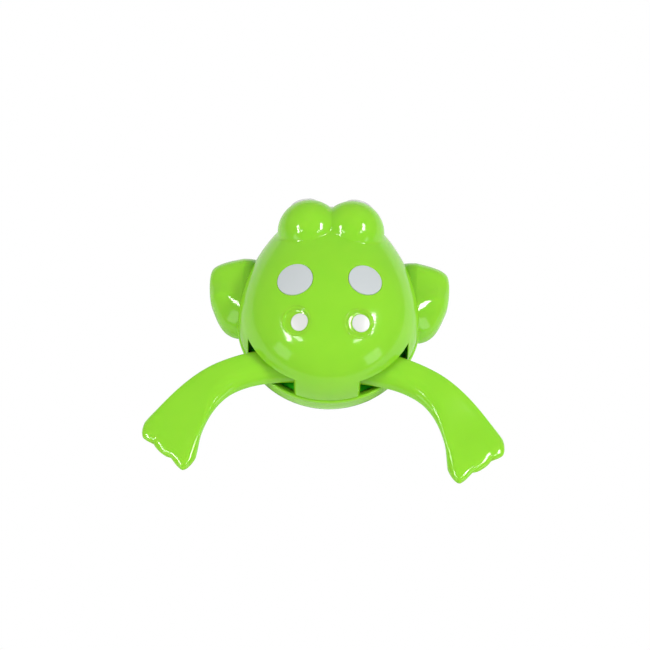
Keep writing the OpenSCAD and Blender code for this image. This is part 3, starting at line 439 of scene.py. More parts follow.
def lower_shell():
    """The belly, open at the middle for the arbor: rings go out over the well's ceiling, down its wall, out
    along the resting face while their outline changes from a circle to the plan, up the belly's curve, over
    the rim bead and the lap, down the inside and back over the well's tube."""
    cols = 300
    a = around(cols)

    def belly(depth_inset, z):
        """Share of the plan at a height of the belly's curve."""
        return level_k(BELLY_H - z, BELLY_DEPTH - depth_inset, BELLY_N)

    def oval(inset, k, z):
        """Ring of the plan, moved in by an inset and scaled by a share, at a height."""
        x, y = plan(a, inset)
        return np.stack([k * x, k * y, np.full(cols, z)], -1)

    def circle(r, z):
        """Ring round the arbor's axis at a height. Its angles start at the nose, as the plan's do."""
        return np.stack([r * np.sin(a), ARBOR_Y + r * np.cos(a), np.full(cols, z)], -1)

    k0 = float(belly(0, 0)) * 0.985
    hole_r, tube_r, tube_top = 1.8, WELL_R + WALL, WELL_TOP + WALL
    rings = [circle(r, WELL_TOP) for r in (hole_r, 2.0, 5.0, 9.0, 12.0)]
    rings += [circle(r, z) for r, z in (
        (12.3, 8.96), (12.45, 8.85), (WELL_R, 8.65), (WELL_R, 5), (WELL_R, 0.5), (12.52, 0.3), (12.6, 0.13),
        (12.75, 0.03), (12.95, 0))]
    rings += [rings[-1] * (1 - w) + oval(0, k0, 0) * w for w in np.linspace(0, 1, 9)[1:]]
    rings += [oval(0, float(belly(0, z)), z) for z in BELLY_H * (1 - np.cos(np.linspace(0.12, 1.505, 30)))]
    # Rim bead and lap: how far each ring stands out of the plan, and its height
    rings += [oval(-d, 1, z) for d, z in (
        (0, 15.05), (0.08, 15.2), (0.22, 15.4), (0.34, 15.7), (0.4, 16.05), (0.4, 16.9), (0.37, 17.1),
        (0.3, 17.28), (0.18, 17.41), (0, 17.48), (-0.3, 17.5), (-1.6, 17.5), (-1.86, 17.52), (-1.88, 18.3),
        (-1.95, 18.44), (-2.1, 18.5), (-2.4, 18.5), (-2.58, 18.42), (-2.65, 18.25), (-2.65, 16.6),
        (-1.9, 16.4))]
    rings += [oval(WALL, float(belly(WALL, z)), z) for z in np.linspace(BELLY_H, 1.9, 16)]
    floor_in = oval(WALL, float(belly(WALL, WALL)) * 0.97, WALL)
    rings += [floor_in * (1 - w) + circle(tube_r, WALL) * w for w in (0, 0.5, 1)]
    rings += [circle(r, z) for r, z in (
        (tube_r, tube_top - 0.2), (tube_r - 0.2, tube_top), (6, tube_top), (hole_r, tube_top))]
    rings = np.array(rings)
    # The lap stops at the leg slots, where the rim is thinned from inside, deeper the farther in
    x, y, z = rings[..., 0], rings[..., 1], rings[..., 2]
    slot = (np.abs(x) > SLOT_IN) & (np.abs(x) < SLOT_OUT) & (y < 0)
    depth = np.hypot(*plan(a, 0)) - np.hypot(x, y)
    thinned = slot & (z > 16.3) & (depth > 0.5)
    rings[..., 2] = np.where(thinned, np.minimum(z, 17.45 - 0.9 * (depth - 0.5)), z)
    verts, faces = closed_tube(rings)
    return verts, flipped(faces)


def shade_shelf():
    """Ledge inside the rim under each leg slot, against the view into the body, added so that it shows as
    painted shade through the slots:
    a band of the plan between two insets and two heights, with its outer top edge chamfered."""
    a = math.pi - np.arcsin(np.linspace(0.25, 0.985, 80))
    parts = []
    for side in (1, -1):
        rows = []
        for inset, z in ((1.9, 13.2), (1.9, 13.9), (2.1, 14.0), (12, 14.0), (12, 13.2)):
            x, y = plan(a, inset)
            rows.append(np.stack([side * x, y, np.full(len(a), z)], -1))
        v, f = closed_loft(np.array(rows).transpose(1, 0, 2))
        parts.append((v, flipped(f) if side > 0 else f))
    return merged(parts)


def circle_rings(points, cols=64):
    """Rings about the Z axis from rows of radius and height."""
    a = around(cols)
    return np.array([np.stack([r * np.cos(a), r * np.sin(a), np.full(cols, z)], -1) for r, z in points])


def post(x, y, r, z0, z1):
    """Closed upright cylinder."""
    v, f = closed_loft(circle_rings([(r, z0), (r, z1)]))
    return v + [x, y, 0], f


def cross_post(x0, x1, y, z, r):
    """Closed cylinder along X."""
    v, f = closed_loft(circle_rings([(r, x0), (r, x1)]))
    return np.stack([v[:, 2], v[:, 0] + y, v[:, 1] + z], -1), f


def offset(loop, d):
    """Closed outline moved outwards by a distance, square to the line between its neighbours."""
    t = unit(np.roll(loop, -1, 0) - np.roll(loop, 1, 0))
    return loop + d * np.stack([t[:, 1], -t[:, 0]], -1)


def ring_solid(outer, inner, z0, z1, b=0.2):
    """Closed solid between an outer and an inner outline and two heights, with its edges rounded."""
    rows = [(outer, -b, z0), (outer, -0.3 * b, z0 + 0.3 * b), (outer, 0, z0 + b), (outer, 0, z1 - b),
            (outer, -0.3 * b, z1 - 0.3 * b), (outer, -b, z1), (inner, b, z1), (inner, 0.3 * b, z1 - 0.3 * b),
            (inner, 0, z1 - b), (inner, 0, z0 + b), (inner, 0.3 * b, z0 + 0.3 * b), (inner, b, z0)]
    return closed_tube(np.array([np.column_stack([offset(o, d), np.full(len(o), z)]) for o, d, z in rows]))


def rounded(cx, hx, hy, e=0.3, cols=120):
    """Rounded rectangle outline: cosine and sine to a small power, times the half sizes. The angles start a
    little past 0, so that no point falls on an axis."""
    a = around(cols) + 0.013
    return np.stack([cx + hx * power(np.cos(a), e), hy * power(np.sin(a), e)], -1)


def screw_cup(x, y):
    """Boss round a shell screw: a tube from the inside of the belly, with a seat for the screw's head."""
    cols, boss_r, bore_r, top = 64, 3.12, 1.35, 17.1
    a = around(cols)

    def ring(r, z=None, above_belly=0.0):
        """Ring round the screw's axis, at a height, or at a distance above the belly's outside."""
        px, py = x + r * np.cos(a), y + r * np.sin(a)
        return np.stack([px, py, belly_z(px, py) + above_belly if z is None else np.full(cols, z)], -1)

    return closed_tube(np.array([
        ring(boss_r, above_belly=1.5), ring(boss_r, top - 0.2), ring(boss_r - 0.22, top),
        ring(bore_r + 0.15, top), ring(bore_r, top - 0.2), ring(bore_r, SCREW_SEAT),
        ring(SCREW_HOLE_R, SCREW_SEAT), ring(SCREW_HOLE_R, above_belly=1.6)]))


def knob_dial():
    """Knob's flange and hub, turned: a rounded disc over a short boss."""
    # Rows of radius and height
    rows = [(3.0, 4.5), (3.3, 4.6), (3.3, 7.0), (3.5, 7.2), (3.8, 7.27), (6.1, 7.27), (6.32, 7.33),
            (6.46, 7.5), (6.5, 7.75), (6.5, 8.2), (6.46, 8.45), (6.32, 8.63), (6.1, 8.7), (3.4, 8.7)]
    v, f = closed_loft(circle_rings(rows, 128))
    return v + [0, ARBOR_Y, 0], f


def knob_grip():
    """Knob's wing: rounded sections along its length, pinched in by the cosine at the middle and closed in
    towards its two ends."""
    half_len, half_t, pinch, middle_z, half_h = 6.35, 1.6, 0.28, 4.74, 3.64
    t = np.linspace(-1, 1, 61)
    x = half_len * np.sin(t * math.pi / 2)
    close = np.clip(1 - np.abs(x / (half_len + 0.01)) ** 9, 0, 1) ** (1 / 3)
    a = around(64)
    half = (half_t - pinch * np.cos(math.pi * x / (2 * half_len)) ** 2) * close
    y = half[:, None] * power(np.cos(a), 0.45)
    z = middle_z + (half_h * (0.93 + 0.07 * close))[:, None] * power(np.sin(a), 0.35)
    v, f = closed_loft(np.stack([x[:, None] + 0 * y, y, z], -1))
    return v + [0, ARBOR_Y, 0], f


def through(rows, n):
    """Smooth curve through a list of rows, n steps to a segment, by uniform Catmull-Rom weights."""
    r = np.asarray(rows, float)
    r = np.concatenate([[2 * r[0] - r[1]], r, [2 * r[-1] - r[-2]]])
    t = np.arange(n)[:, None] / n
    out = []
    for i in range(1, len(r) - 2):
        a, b, c, d = r[i - 1], r[i], r[i + 1], r[i + 2]
        bend, twist = 2 * a - 5 * b + 4 * c - d, 3 * b - a - 3 * c + d
        out.append(0.5 * (2 * b + (c - a) * t + bend * t ** 2 + twist * t ** 3))
    return np.concatenate(out + [r[-2:-1]])


# Rows along the right arm, as shares: of its length, of its reach beyond the body's half width, of that half
# width where its inner side lies, of its height and of its thickness
ARM = [
    [0.000, -0.070, 0.82, 0.80, 0.12], [0.073, 0.354, 0.81, 0.82, 0.60], [0.155, 0.630, 0.81, 0.86, 0.82],
    [0.293, 0.870, 0.81, 0.94, 0.96], [0.400, 0.990, 0.81, 1.00, 1.00], [0.575, 1.030, 0.81, 1.03, 0.99],
    [0.700, 0.990, 0.81, 1.00, 0.95], [0.780, 0.860, 0.79, 0.88, 0.90], [0.853, 0.690, 0.77, 0.67, 0.76],
    [0.915, 0.536, 0.74, 0.43, 0.52], [0.963, 0.435, 0.73, 0.28, 0.34], [1.000, 0.354, 0.72, 0.21, 0.24]]
ARM_LEN, ARM_REAR, ARM_OUT, ARM_HIGH, ARM_THICK = 35.5, -5.5, 10.4, 16.5, 7.8
# Exponents of its section's inner and outer halves, how deep its inner side stands in the body, and the
# least height of its underside
ARM_IN_N, ARM_OUT_N, ARM_BITE, ARM_FLOOR = 0.45, 0.62, 0.9, 0.3
# Ridge across the elbow: place along the body, slant, rise and width; then the hollow ahead of it
RIDGE_Y, RIDGE_SLANT, RIDGE_RISE, RIDGE_W = 4.3, 0.8, 1.2, 4.6
HOLLOW_Y, HOLLOW_DEPTH, HOLLOW_W = 13, 0.7, 4.5
# Fall of the top for each millimetre outwards, and the distance from the middle plane at which it starts
TOP_FALL, FALL_FROM = 0.42, 30.5
# Fingers: width of one as a share of the hand's, the shares of the length at which they start and over which
# they grow, and the depth of the grooves between them
FINGER_W, FINGERS_FROM, FINGERS_RUN, GROOVE = 0.42, 0.80, 0.20, 0.5


def side_x(y, z):
    """Half width of the body's side at a place along it and a height."""
    k = np.where(z > SEAM_Z, level_k(z - SEAM_Z, DOME_H, DOME_N), level_k(BELLY_H - z, BELLY_DEPTH, BELLY_N))
    yk = y / k
    lo, hi = np.zeros_like(yk), np.full_like(yk, math.pi)
    for _ in range(HALVINGS):
        mid = (lo + hi) / 2
        far = plan(mid, 0)[1] > yk
        lo = np.where(far, mid, lo)
        hi = np.where(far, hi, mid)
    return k * plan((lo + hi) / 2, 0)[0]


def above(x, limit, soft=0.9):
    """Keeps a value above a limit, rounded over near it."""
    return limit + (x - limit + np.hypot(x - limit, soft)) / 2


def arm():
    """Right arm: upright rings along the body, from the table of shares. The section is a rounded square,
    squarer towards the body than outwards, and its inner side keeps to the body's. Its top falls outwards, a
    low ridge crosses it aslant at the elbow, three fingers run on at the end as a cosine, and the end is
    rounded off as a quarter ellipse."""
    rows = through(ARM, 14)
    n_end = 12
    end = np.linspace(0, 1, n_end + 1)[1:]
    rows = np.concatenate([rows, np.repeat(rows[-1:], n_end, 0)])
    grow = np.concatenate([np.zeros(len(rows) - n_end), np.sin(end * math.pi / 2)])[:, None]
    close = np.sqrt(1 - (0.995 * grow) ** 2)
    c, sn = half_steps(160)
    inner = c > 0
    v = 0.5 - 0.5 * np.where(inner, power(c, ARM_IN_N), power(c, ARM_OUT_N))
    high = np.where(inner, power(sn, ARM_IN_N), power(sn, ARM_OUT_N))
    share, out, inn, height, thick = (rows[:, i:i + 1] for i in range(5))
    v = 0.5 + (v - 0.5) * (0.88 + 0.12 * close)
    finger = 0.5 + 0.5 * np.cos(2 * math.pi * (v - 0.5) / FINGER_W)
    ramp = smooth((share - FINGERS_FROM) / FINGERS_RUN)
    y = share * ARM_LEN + ARM_REAR + finger * ramp * (0.6 + 0.8 * grow) + grow
    z = height * ARM_HIGH + thick * ARM_THICK * high * close
    top = np.maximum(sn, 0) ** 0.5
    x = (HALF_W + out * ARM_OUT) * v + inn * HALF_W * (1 - v)
    z = above(z, ARM_FLOOR)
    x = above(x, side_x(y, z) - ARM_BITE, 0.3)
    ridge_y = RIDGE_Y + RIDGE_SLANT * (np.clip(x, 30, 38) - 34)
    ridge = RIDGE_RISE * np.exp(-((y - ridge_y) / RIDGE_W) ** 2)
    hollow = HOLLOW_DEPTH * np.exp(-((y - HOLLOW_Y) / HOLLOW_W) ** 2)
    z = z + top * (ridge - hollow)
    z = z - TOP_FALL * top * np.maximum(x - FALL_FROM, 0) - GROOVE * top * ramp * (1 - finger)
    return closed_loft(np.stack([x, y, z], -1)[:, ::-1])


# Control points of the right leg's two edges from its hip, as shares of its length and of its bend
FRONT = np.array([[0, 0], [0.42, 0.07], [0.725, 0.295], [0.985, 0.85]])
REAR = np.array([[0, 0], [0.36, 0.025], [0.575, 0.225], [0.625, 0.86]])
LEG_LEN, LEG_BEND, LEG_HALF = 51, 36, 6.1
# Thickness at the hip and of the foot, height of the leg's middle, and drop of the foot
LEG_T, FOOT_T = 6, 3.2
LEG_Z, FOOT_DROP = SEAM_Z + 0.3 + LEG_T / 2 + 0.4, 6.4
# Width of the slope to the rear edge, and exponent of the section's front part
SLOPE_W, LEG_FRONT_N = 6.0, 0.588
# Toes: their reach, their middles as shares of the width from the front edge, and half the width of one
TOE_LEN, TOES, TOE_HALF = 3.6, (0.1, 0.47, 0.85), 0.2
# Shares of the length: where the leg starts inside the body, where the foot widens into the toes, and where
# the rounding of the end starts and how long it is
LEG_FROM, TOES_FROM, END_FROM, END_RUN = -0.039, 0.80, 0.955, 0.045


def cubic(p, t):
    """Points of a cubic curve with four control points, at shares of its way."""
    t = t[:, None]
    return (1 - t) ** 3 * p[0] + 3 * (1 - t) ** 2 * t * p[1] + 3 * (1 - t) * t ** 2 * p[2] + t ** 3 * p[3]


def leg():
    """Right leg about its hip: rings between two cubic edges, thinning and dropping towards the foot. The
    section is nearly square to the front edge. To the rear edge, whose middle lies low, it falls away over
    the slope's width, as a quarter ellipse by the body and squarer at the foot. Three rounded toes run on at
    the end, each half an ellipse, and the end itself is rounded off."""
    u = np.concatenate([np.linspace(LEG_FROM, TOES_FROM, 110, endpoint=False),
                        np.linspace(TOES_FROM, END_FROM, 50, endpoint=False),
                        END_FROM + END_RUN * np.sin(np.linspace(0, math.pi / 2, 26))])
    # Both edges at each ring and a step before it, which gives the way ahead
    f, r, f0, r0 = (cubic(np.stack([LEG_LEN * e[:, 0], sg * LEG_HALF - LEG_BEND * e[:, 1]], -1), t)
                    for t in (u, u - 0.05) for e, sg in ((FRONT, 1), (REAR, -1)))
    ahead = unit(f - f0 + r - r0)
    wide = np.linalg.norm(f - r, axis=1)[:, None]
    z = (LEG_Z - FOOT_DROP * smooth((u - 0.45) / 0.65))[:, None]
    rounding = np.sqrt(np.maximum(1 - ((u - END_FROM) / END_RUN * 0.995) ** 2, 0))
    thin = np.where(u > END_FROM, rounding, 1)[:, None]
    u = u[:, None]
    half_t = (LEG_T + (FOOT_T - LEG_T) * smooth((u - 0.15) / 0.7)) / 2
    c, sn = half_steps(132)
    crest = 1 - SLOPE_W / wide
    front = c > 0
    square = 1 - 0.6 * smooth((u - 0.55) / 0.25)
    v = np.where(front, crest - crest * np.abs(c) ** LEG_FRONT_N, crest + (1 - crest) * np.abs(c) ** square)
    low = np.where(front, 0, (0.7 - 0.4 * smooth((u - 0.55) / 0.3)) * half_t)
    up = np.where(front, np.abs(sn) ** LEG_FRONT_N, np.abs(sn) ** square)
    zz = np.where(sn > 0, (half_t + low) * up - low, -(half_t - low) * up - low)
    bump = np.max([np.sqrt(np.maximum(0, 1 - ((v - k) / TOE_HALF) ** 2)) for k in TOES], axis=0)
    past = np.clip((np.abs(v - 0.5) - 0.38) / 0.12, 0, 1)
    toe = TOE_LEN * ((0.3 + 0.45 * v + 0.45 * bump + 0.7) * np.sqrt(1 - past ** 2) - 0.7)
    p = f[:, None] * (1 - v[..., None]) + r[:, None] * v[..., None]
    p = p + ahead[:, None] * (toe * smooth((u - TOES_FROM) / 0.2))[..., None]
    return closed_loft(np.concatenate([p, (z + zz * thin)[..., None]], -1)[:, ::-1])


def at_hip(verts, side):
    """Places a right limb at its hip, or mirrored at the left one, turned about it in plan."""
    v = verts * [side, 1, 1]
    t = math.radians(LEG_SKEW)
    x = v[:, 0] * math.cos(t) - v[:, 1] * math.sin(t) + side * HIP[0]
    y = v[:, 0] * math.sin(t) + v[:, 1] * math.cos(t) + HIP[1]
    return np.stack([x, y, v[:, 2]], -1)


def disc(surface, radius, thick, edge, rings=40, cols=96):
    """Round inlay: its face follows a surface function of two distances, its edge rolls over, its back is the
    same face lowered by the thickness."""
    t = np.linspace(0, 1, rings)[1:]
    a = around(cols)
    prof = [(radius - edge) * t, [radius - 0.6 * edge, radius - 0.2 * edge, radius]]
    drop = [0 * t, [0.08 * edge, 0.4 * edge, edge]]
    r, h = np.concatenate(prof), np.concatenate(drop)
    r, h = np.append(r, [radius, radius * 0.5]), np.append(h, [thick, thick])
    x, y = r[:, None] * np.cos(a), r[:, None] * np.sin(a)
    p = surface(x, y, h[:, None] + 0 * x)
    mid = surface(np.zeros(1), np.zeros(1), np.zeros(1))
    back = surface(np.zeros(1), np.zeros(1), np.full(1, thick))
    first, last, tip = np.arange(cols), (len(p) - 1) * cols + np.arange(cols), len(p) * cols
    verts = np.concatenate([p.reshape(-1, 3), mid, back])
    return verts, [grid_faces(len(p), cols)[:, ::-1], fan(first, tip), fan(last, tip + 1, True)]


def spot_surface(fr):
    """Surface of the back round a spot's middle, lowered along the spot's own axis. A place beside the middle
    moves along the axis until it meets the back, in three rounds."""
    p, u, w, n = fr

    def f(x, y, h):
        """Points at two distances from the middle, h below a face 0.02 mm proud of the back."""
        q = p + x[..., None] * u + y[..., None] * w
        for _ in range(3):
            gap = back_z(q[..., 0], q[..., 1]) - q[..., 2]
            q = q + n * (gap * n[2])[..., None]
        return q - n * (h[..., None] - 0.02)
    return f


def flat_surface(fr, level, crown, radius):
    """Nearly flat face at a level along an axis, crowned a little."""
    p, u, w, n = fr

    def f(x, y, h):
        """Points at two distances from the middle, on the crowned face or h below it."""
        lift = level + crown * (1 - (x * x + y * y) / radius ** 2)
        return p + x[..., None] * u + y[..., None] * w + n * (lift - h)[..., None]
    return f


def ball_surface(fr, ball):
    """Face on a ball round an eye's middle, seen along the gaze."""
    p, u, w, n = fr

    def f(x, y, h):
        """Points at two distances from the gaze, on the ball or h below it."""
        z = np.sqrt(np.maximum(ball ** 2 - x * x - y * y, 0)) - h
        return p + x[..., None] * u + y[..., None] * w + n * z[..., None]
    return f


# Materials


def node_group(name, sockets_in, sockets_out):
    """Empty shader group with its inputs and outputs made."""
    g = bpy.data.node_groups.new(name, "ShaderNodeTree")
    for s_name, s_type, default in sockets_in:
        s = g.interface.new_socket(s_name, in_out="INPUT", socket_type=s_type)
        s.default_value = default
    for s_name, s_type in sockets_out:
        g.interface.new_socket(s_name, in_out="OUTPUT", socket_type=s_type)
    return g, g.nodes.new("NodeGroupInput"), g.nodes.new("NodeGroupOutput")


def moulding_group():
    """Slow waviness and fine grain of a moulded surface, as a value about 0.5 and a normal."""
    g, i, o = node_group("moulding", [("Strength", "NodeSocketFloat", 0.05)],
                         [("Value", "NodeSocketFloat"), ("Normal", "NodeSocketVector")])
    n, l = g.nodes, g.links
    coord = n.new("ShaderNodeTexCoord")
    slow = n.new("ShaderNodeTexNoise")
    slow.inputs["Scale"].default_value = 60
    slow.inputs["Detail"].default_value = 2
    fine = n.new("ShaderNodeTexNoise")
    fine.inputs["Scale"].default_value = 2600
    fine.inputs["Detail"].default_value = 3
    l.new(coord.outputs["Object"], slow.inputs["Vector"])
    l.new(coord.outputs["Object"], fine.inputs["Vector"])
    mix = n.new("ShaderNodeMath")
    mix.operation = "MULTIPLY_ADD"
    mix.inputs[1].default_value = 0.04
    l.new(fine.outputs["Fac"], mix.inputs[0])
    l.new(slow.outputs["Fac"], mix.inputs[2])
    bump = n.new("ShaderNodeBump")
    bump.inputs["Distance"].default_value = 0.0006
    l.new(i.outputs["Strength"], bump.inputs["Strength"])
    l.new(mix.outputs[0], bump.inputs["Height"])
    l.new(slow.outputs["Fac"], o.inputs["Value"])
    l.new(bump.outputs["Normal"], o.inputs["Normal"])
    return g


MOULDING = moulding_group()


def plastic(name, color, deep, rough, strength=0.05, sub=0.0):
    """Moulded plastic: two near colours mixed by the slow waviness, roughness varied by it too."""
    m = bpy.data.materials.new(name)
    m.use_nodes = True
    n, l = m.node_tree.nodes, m.node_tree.links
    b = n["Principled BSDF"]
    g = n.new("ShaderNodeGroup")
    g.node_tree = MOULDING
    g.inputs["Strength"].default_value = strength
    ramp = n.new("ShaderNodeValToRGB")
    ramp.color_ramp.elements[0].position = 0.3
    ramp.color_ramp.elements[1].position = 0.7
    ramp.color_ramp.elements[0].color = (*deep, 1)
    ramp.color_ramp.elements[1].color = (*color, 1)
    l.new(g.outputs["Value"], ramp.inputs["Fac"])
    l.new(ramp.outputs["Color"], b.inputs["Base Color"])
    rr = n.new("ShaderNodeMapRange")
    rr.inputs["To Min"].default_value = rough * 0.85
    rr.inputs["To Max"].default_value = rough * 1.2
    l.new(g.outputs["Value"], rr.inputs["Value"])
    l.new(rr.outputs["Result"], b.inputs["Roughness"])
    l.new(g.outputs["Normal"], b.inputs["Normal"])
    b.inputs["IOR"].default_value = 1.49
    if sub:
        b.inputs["Subsurface Weight"].default_value = sub
        b.inputs["Subsurface Radius"].default_value = (0.6, 1.0, 0.25)
        b.inputs["Subsurface Scale"].default_value = 0.002
    return m


def metal(name, color, rough, stretch=(1, 1, 60)):
    """Machined metal: colour and roughness broken up by noise drawn out along one direction."""
    m = bpy.data.materials.new(name)
    m.use_nodes = True
    n, l = m.node_tree.nodes, m.node_tree.links
    b = n["Principled BSDF"]
    b.inputs["Metallic"].default_value = 1
    coord, mapping = n.new("ShaderNodeTexCoord"), n.new("ShaderNodeMapping")
    noise = n.new("ShaderNodeTexNoise")
    mapping.inputs["Scale"].default_value = stretch
    noise.inputs["Scale"].default_value = 300
    noise.inputs["Detail"].default_value = 4
    l.new(coord.outputs["Object"], mapping.inputs["Vector"])
    l.new(mapping.outputs["Vector"], noise.inputs["Vector"])
    ramp = n.new("ShaderNodeValToRGB")
    ramp.color_ramp.elements[0].color = (*[c * 0.8 for c in color], 1)
    ramp.color_ramp.elements[1].color = (*color, 1)
    l.new(noise.outputs["Fac"], ramp.inputs["Fac"])
    l.new(ramp.outputs["Color"], b.inputs["Base Color"])
    rr = n.new("ShaderNodeMapRange")
    rr.inputs["To Min"].default_value = rough * 0.8
    rr.inputs["To Max"].default_value = rough * 1.3
    l.new(noise.outputs["Fac"], rr.inputs["Value"])
    l.new(rr.outputs["Result"], b.inputs["Roughness"])
    return m


GREEN = plastic("lime_plastic", (0.278, 0.668, 0.024), (0.260, 0.645, 0.022), rough=0.10, sub=0.5)
# Painted bounce light: a deeper, more saturated green than the shell, standing in for light bounced inside
# the translucent body, for the ledges seen through the slots
INNER_BOUNCE_GREEN = plastic("lime_painted_bounce_light", (0.03, 0.90, 0.004), (0.028, 0.85, 0.004), rough=0.3)
WHITE = plastic("spot_white", (0.545, 0.58, 0.59), (0.53, 0.565, 0.575), rough=0.30, strength=0.03)
DOT = plastic("dot_white", (0.66, 0.665, 0.65), (0.64, 0.645, 0.63), rough=0.25, strength=0.03)
BLACK = plastic("pupil_black", (0.012, 0.012, 0.014), (0.009, 0.009, 0.011), rough=0.08)
IVORY = plastic("frame_plastic", (0.70, 0.66, 0.54), (0.66, 0.62, 0.50), rough=0.42, strength=0.12)
GEAR = plastic("gear_plastic", (0.80, 0.80, 0.76), (0.76, 0.76, 0.72), rough=0.34, strength=0.08)
STEEL = metal("plated_steel", (0.62, 0.63, 0.65), 0.24)
SPRING = metal("blued_strip", (0.30, 0.32, 0.38), 0.28, (1, 1, 20))
BRASS = metal("stamped_brass", (0.78, 0.58, 0.24), 0.26, (30, 1, 1))

SIDES = ((1, "right"), (-1, "left"))

# Shells
back = build("shell_back", *upper_shell(), GREEN, "green_plastic", 50)
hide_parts("upper_shell")
for (_, name), fr in zip(SIDES, DIMPLES):
    o = build(name + "_dimple", *dimple(fr), GREEN, "green_plastic", 60)
    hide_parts("upper_shell")

# Holes through the belly for the shell screws, the drains and the arms' pegs
holes = [post(x, y, SCREW_HOLE_R, -1, SCREW_SEAT) for x, y in SCREWS]
holes += [post(x, y, DRAIN_R, -1, 3) for x, y in DRAINS]
for side, _ in SIDES:
    v, f = cross_post(*(side * end for end in PEG_HOLE_ENDS), PEG_Y, PEG_Z, PEG_R + PEG_GAP)
    holes.append((v, f if side > 0 else flipped(f)))
belly = build("shell_belly", *lower_shell(), GREEN, "green_plastic", 42, tools=holes)
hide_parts("lower_shell")
o = build("screw_bosses", *merged([screw_cup(x, y) for x, y in SCREWS]), GREEN, "green_plastic", 40)
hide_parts("lower_shell")
# Added ledges under the slots, in the painted bounce-light green, show as shade through them
o = build("slot_shade_shelves", *shade_shelf(), INNER_BOUNCE_GREEN, "green_plastic", 40)
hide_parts("lower_shell")

# Arms, each with its peg
v, f = merged([arm(), cross_post(*PEG_ENDS, PEG_Y, PEG_Z, PEG_R)])
for side, name in SIDES:
    faces = f if side > 0 else flipped(f)
    o = build(name + "_front_limb", v * [side, 1, 1], faces, GREEN, "green_plastic", 60)
    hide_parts(name + "_arm")

# Legs, each with its hub and its slotted lever. A lever's two outlines are given by their middle, half a
# length and half a width. The right lever lies above the left one.
HUB_R, HUB_BORE, HUB_LOW, HUB_TOP = 4.4, 1.55, 17.9, 24.2
LEVER_TURN, LEVER_Z, LEVER_T = math.radians(12.5), (20.61, 18.05), 2.16
turn = np.array([[math.cos(LEVER_TURN), math.sin(LEVER_TURN)], [-math.sin(LEVER_TURN), math.cos(LEVER_TURN)]])
lever_edge, lever_slot = rounded(-8.51, 8.51, 2.06) @ turn, rounded(-11.78, 4.17, 0.85) @ turn
hub = ring_solid(rounded(0, HUB_R, HUB_R, 1.0), rounded(0, HUB_BORE, HUB_BORE, 1.0), HUB_LOW, HUB_TOP)
for (side, name), z in zip(SIDES, LEVER_Z):
    v, f = merged([leg(), hub, ring_solid(lever_edge, lever_slot, z, z + LEVER_T)])
    faces = f if side > 0 else flipped(f)
    o = build(name + "_hind_limb", at_hip(v, side), faces, GREEN, "green_plastic", 60, name + "_leg_body")
    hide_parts(name + "_leg")

# Knob; the hole in its wing takes the knob screw's head
o = build("knob_body", *knob_dial(), DOT, "white_plastic", 50, "winder")
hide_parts("winding_knob")
o = build("knob_wing", *knob_grip(), DOT, "white_plastic", 50, "winder", [post(0, ARBOR_Y, 1.2, 0, 1.88)])
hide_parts("winding_knob")

# Inlays: radius, thickness and rolled edge of each, the level and crown of the dots' faces, and how far the
# eyes' faces stand out of the mounds
for k, (_, name) in enumerate(SIDES):
    v, f = disc(spot_surface(SPOTS[k]), SPOT_R[k], 0.8, 0.12)
    o = build(name + "_spot", v, f, WHITE, "white_plastic", 60)
    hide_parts("back_spots")
    p, u, w, n = DIMPLES[k]
    on_floor = flat_surface((p + DOT_SHIFT[k] * u + DOT_RISE[k] * w, u, w, n), -0.8, 0.14, DOT_R)
    v, f = disc(on_floor, DOT_R, 0.5, 0.3)
    o = build(name + "_dot", v, f, DOT, "white_plastic", 60)
    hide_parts("dimple_dots")
    v, f = disc(ball_surface(EYES[k], EYE_R + 0.5), EYE_WHITE_R, 0.75, 0.25)
    o = build(name + "_eye_white", v, f, DOT, "white_plastic", 60)
    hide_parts("eye_whites")
    v, f = disc(ball_surface(EYES[k], EYE_R + 0.72), PUPIL_R, 0.75, 0.3)
    o = build(name + "_pupil", v, f, BLACK, "black_plastic", 60)
    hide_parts("pupils")

# Nodes of the frame that stay as they are, each with its material
for names, mat in (
    (("motor_base", "motor_cover"), IVORY), (("great_wheel", "middle_gear", "crank_wheel"), GEAR),
    (("ratchet_wheel", "pawl"), BRASS), (("mainspring", "pawl_spring"), SPRING),
    (("hip_pins", "hip_washers", "shell_screws", "motor_screws", "winding_arbor", "knob_screw", "spring_post",
      "middle_axle", "crank_axle", "crank_pin"), STEEL),
):
    for name in names:
        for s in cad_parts[name].material_slots:
            s.material = mat

# Floor, in metres: plain white to the camera, and a pale grey to every other ray
REACH = 3
floor_mesh = bpy.data.meshes.new("floor")
corners = [(-REACH, -REACH, 0), (REACH, -REACH, 0), (REACH, REACH, 0), (-REACH, REACH, 0)]
floor_mesh.from_pydata(corners, [], [(0, 1, 2, 3)])
floor = bpy.data.objects.new("floor", floor_mesh)
bpy.context.scene.collection.objects.link(floor)
fm = bpy.data.materials.new("floor_white")
fm.use_nodes = True
n, l = fm.node_tree.nodes, fm.node_tree.links
b = n["Principled BSDF"]
b.inputs["Base Color"].default_value = (0.86, 0.86, 0.86, 1)
b.inputs["Roughness"].default_value = 0.7
em, mix, lp = n.new("ShaderNodeEmission"), n.new("ShaderNodeMixShader"), n.new("ShaderNodeLightPath")
em.inputs["Color"].default_value = (1, 1, 1, 1)
em.inputs["Strength"].default_value = 1.0
l.new(lp.outputs["Is Camera Ray"], mix.inputs["Fac"])
l.new(b.outputs["BSDF"], mix.inputs[1])
l.new(em.outputs["Emission"], mix.inputs[2])
l.new(mix.outputs["Shader"], n["Material Output"].inputs["Surface"])
floor_mesh.materials.append(fm)

# Light, in metres and watts
world = bpy.data.worlds.new("studio")
bpy.context.scene.world = world
world.use_nodes = True
world.node_tree.nodes["Background"].inputs["Color"].default_value = (1, 1, 1, 1)
world.node_tree.nodes["Background"].inputs["Strength"].default_value = 0.37
TOY_MIDDLE, LIGHT_AWAY = (0, 0, 0.025), 0.9


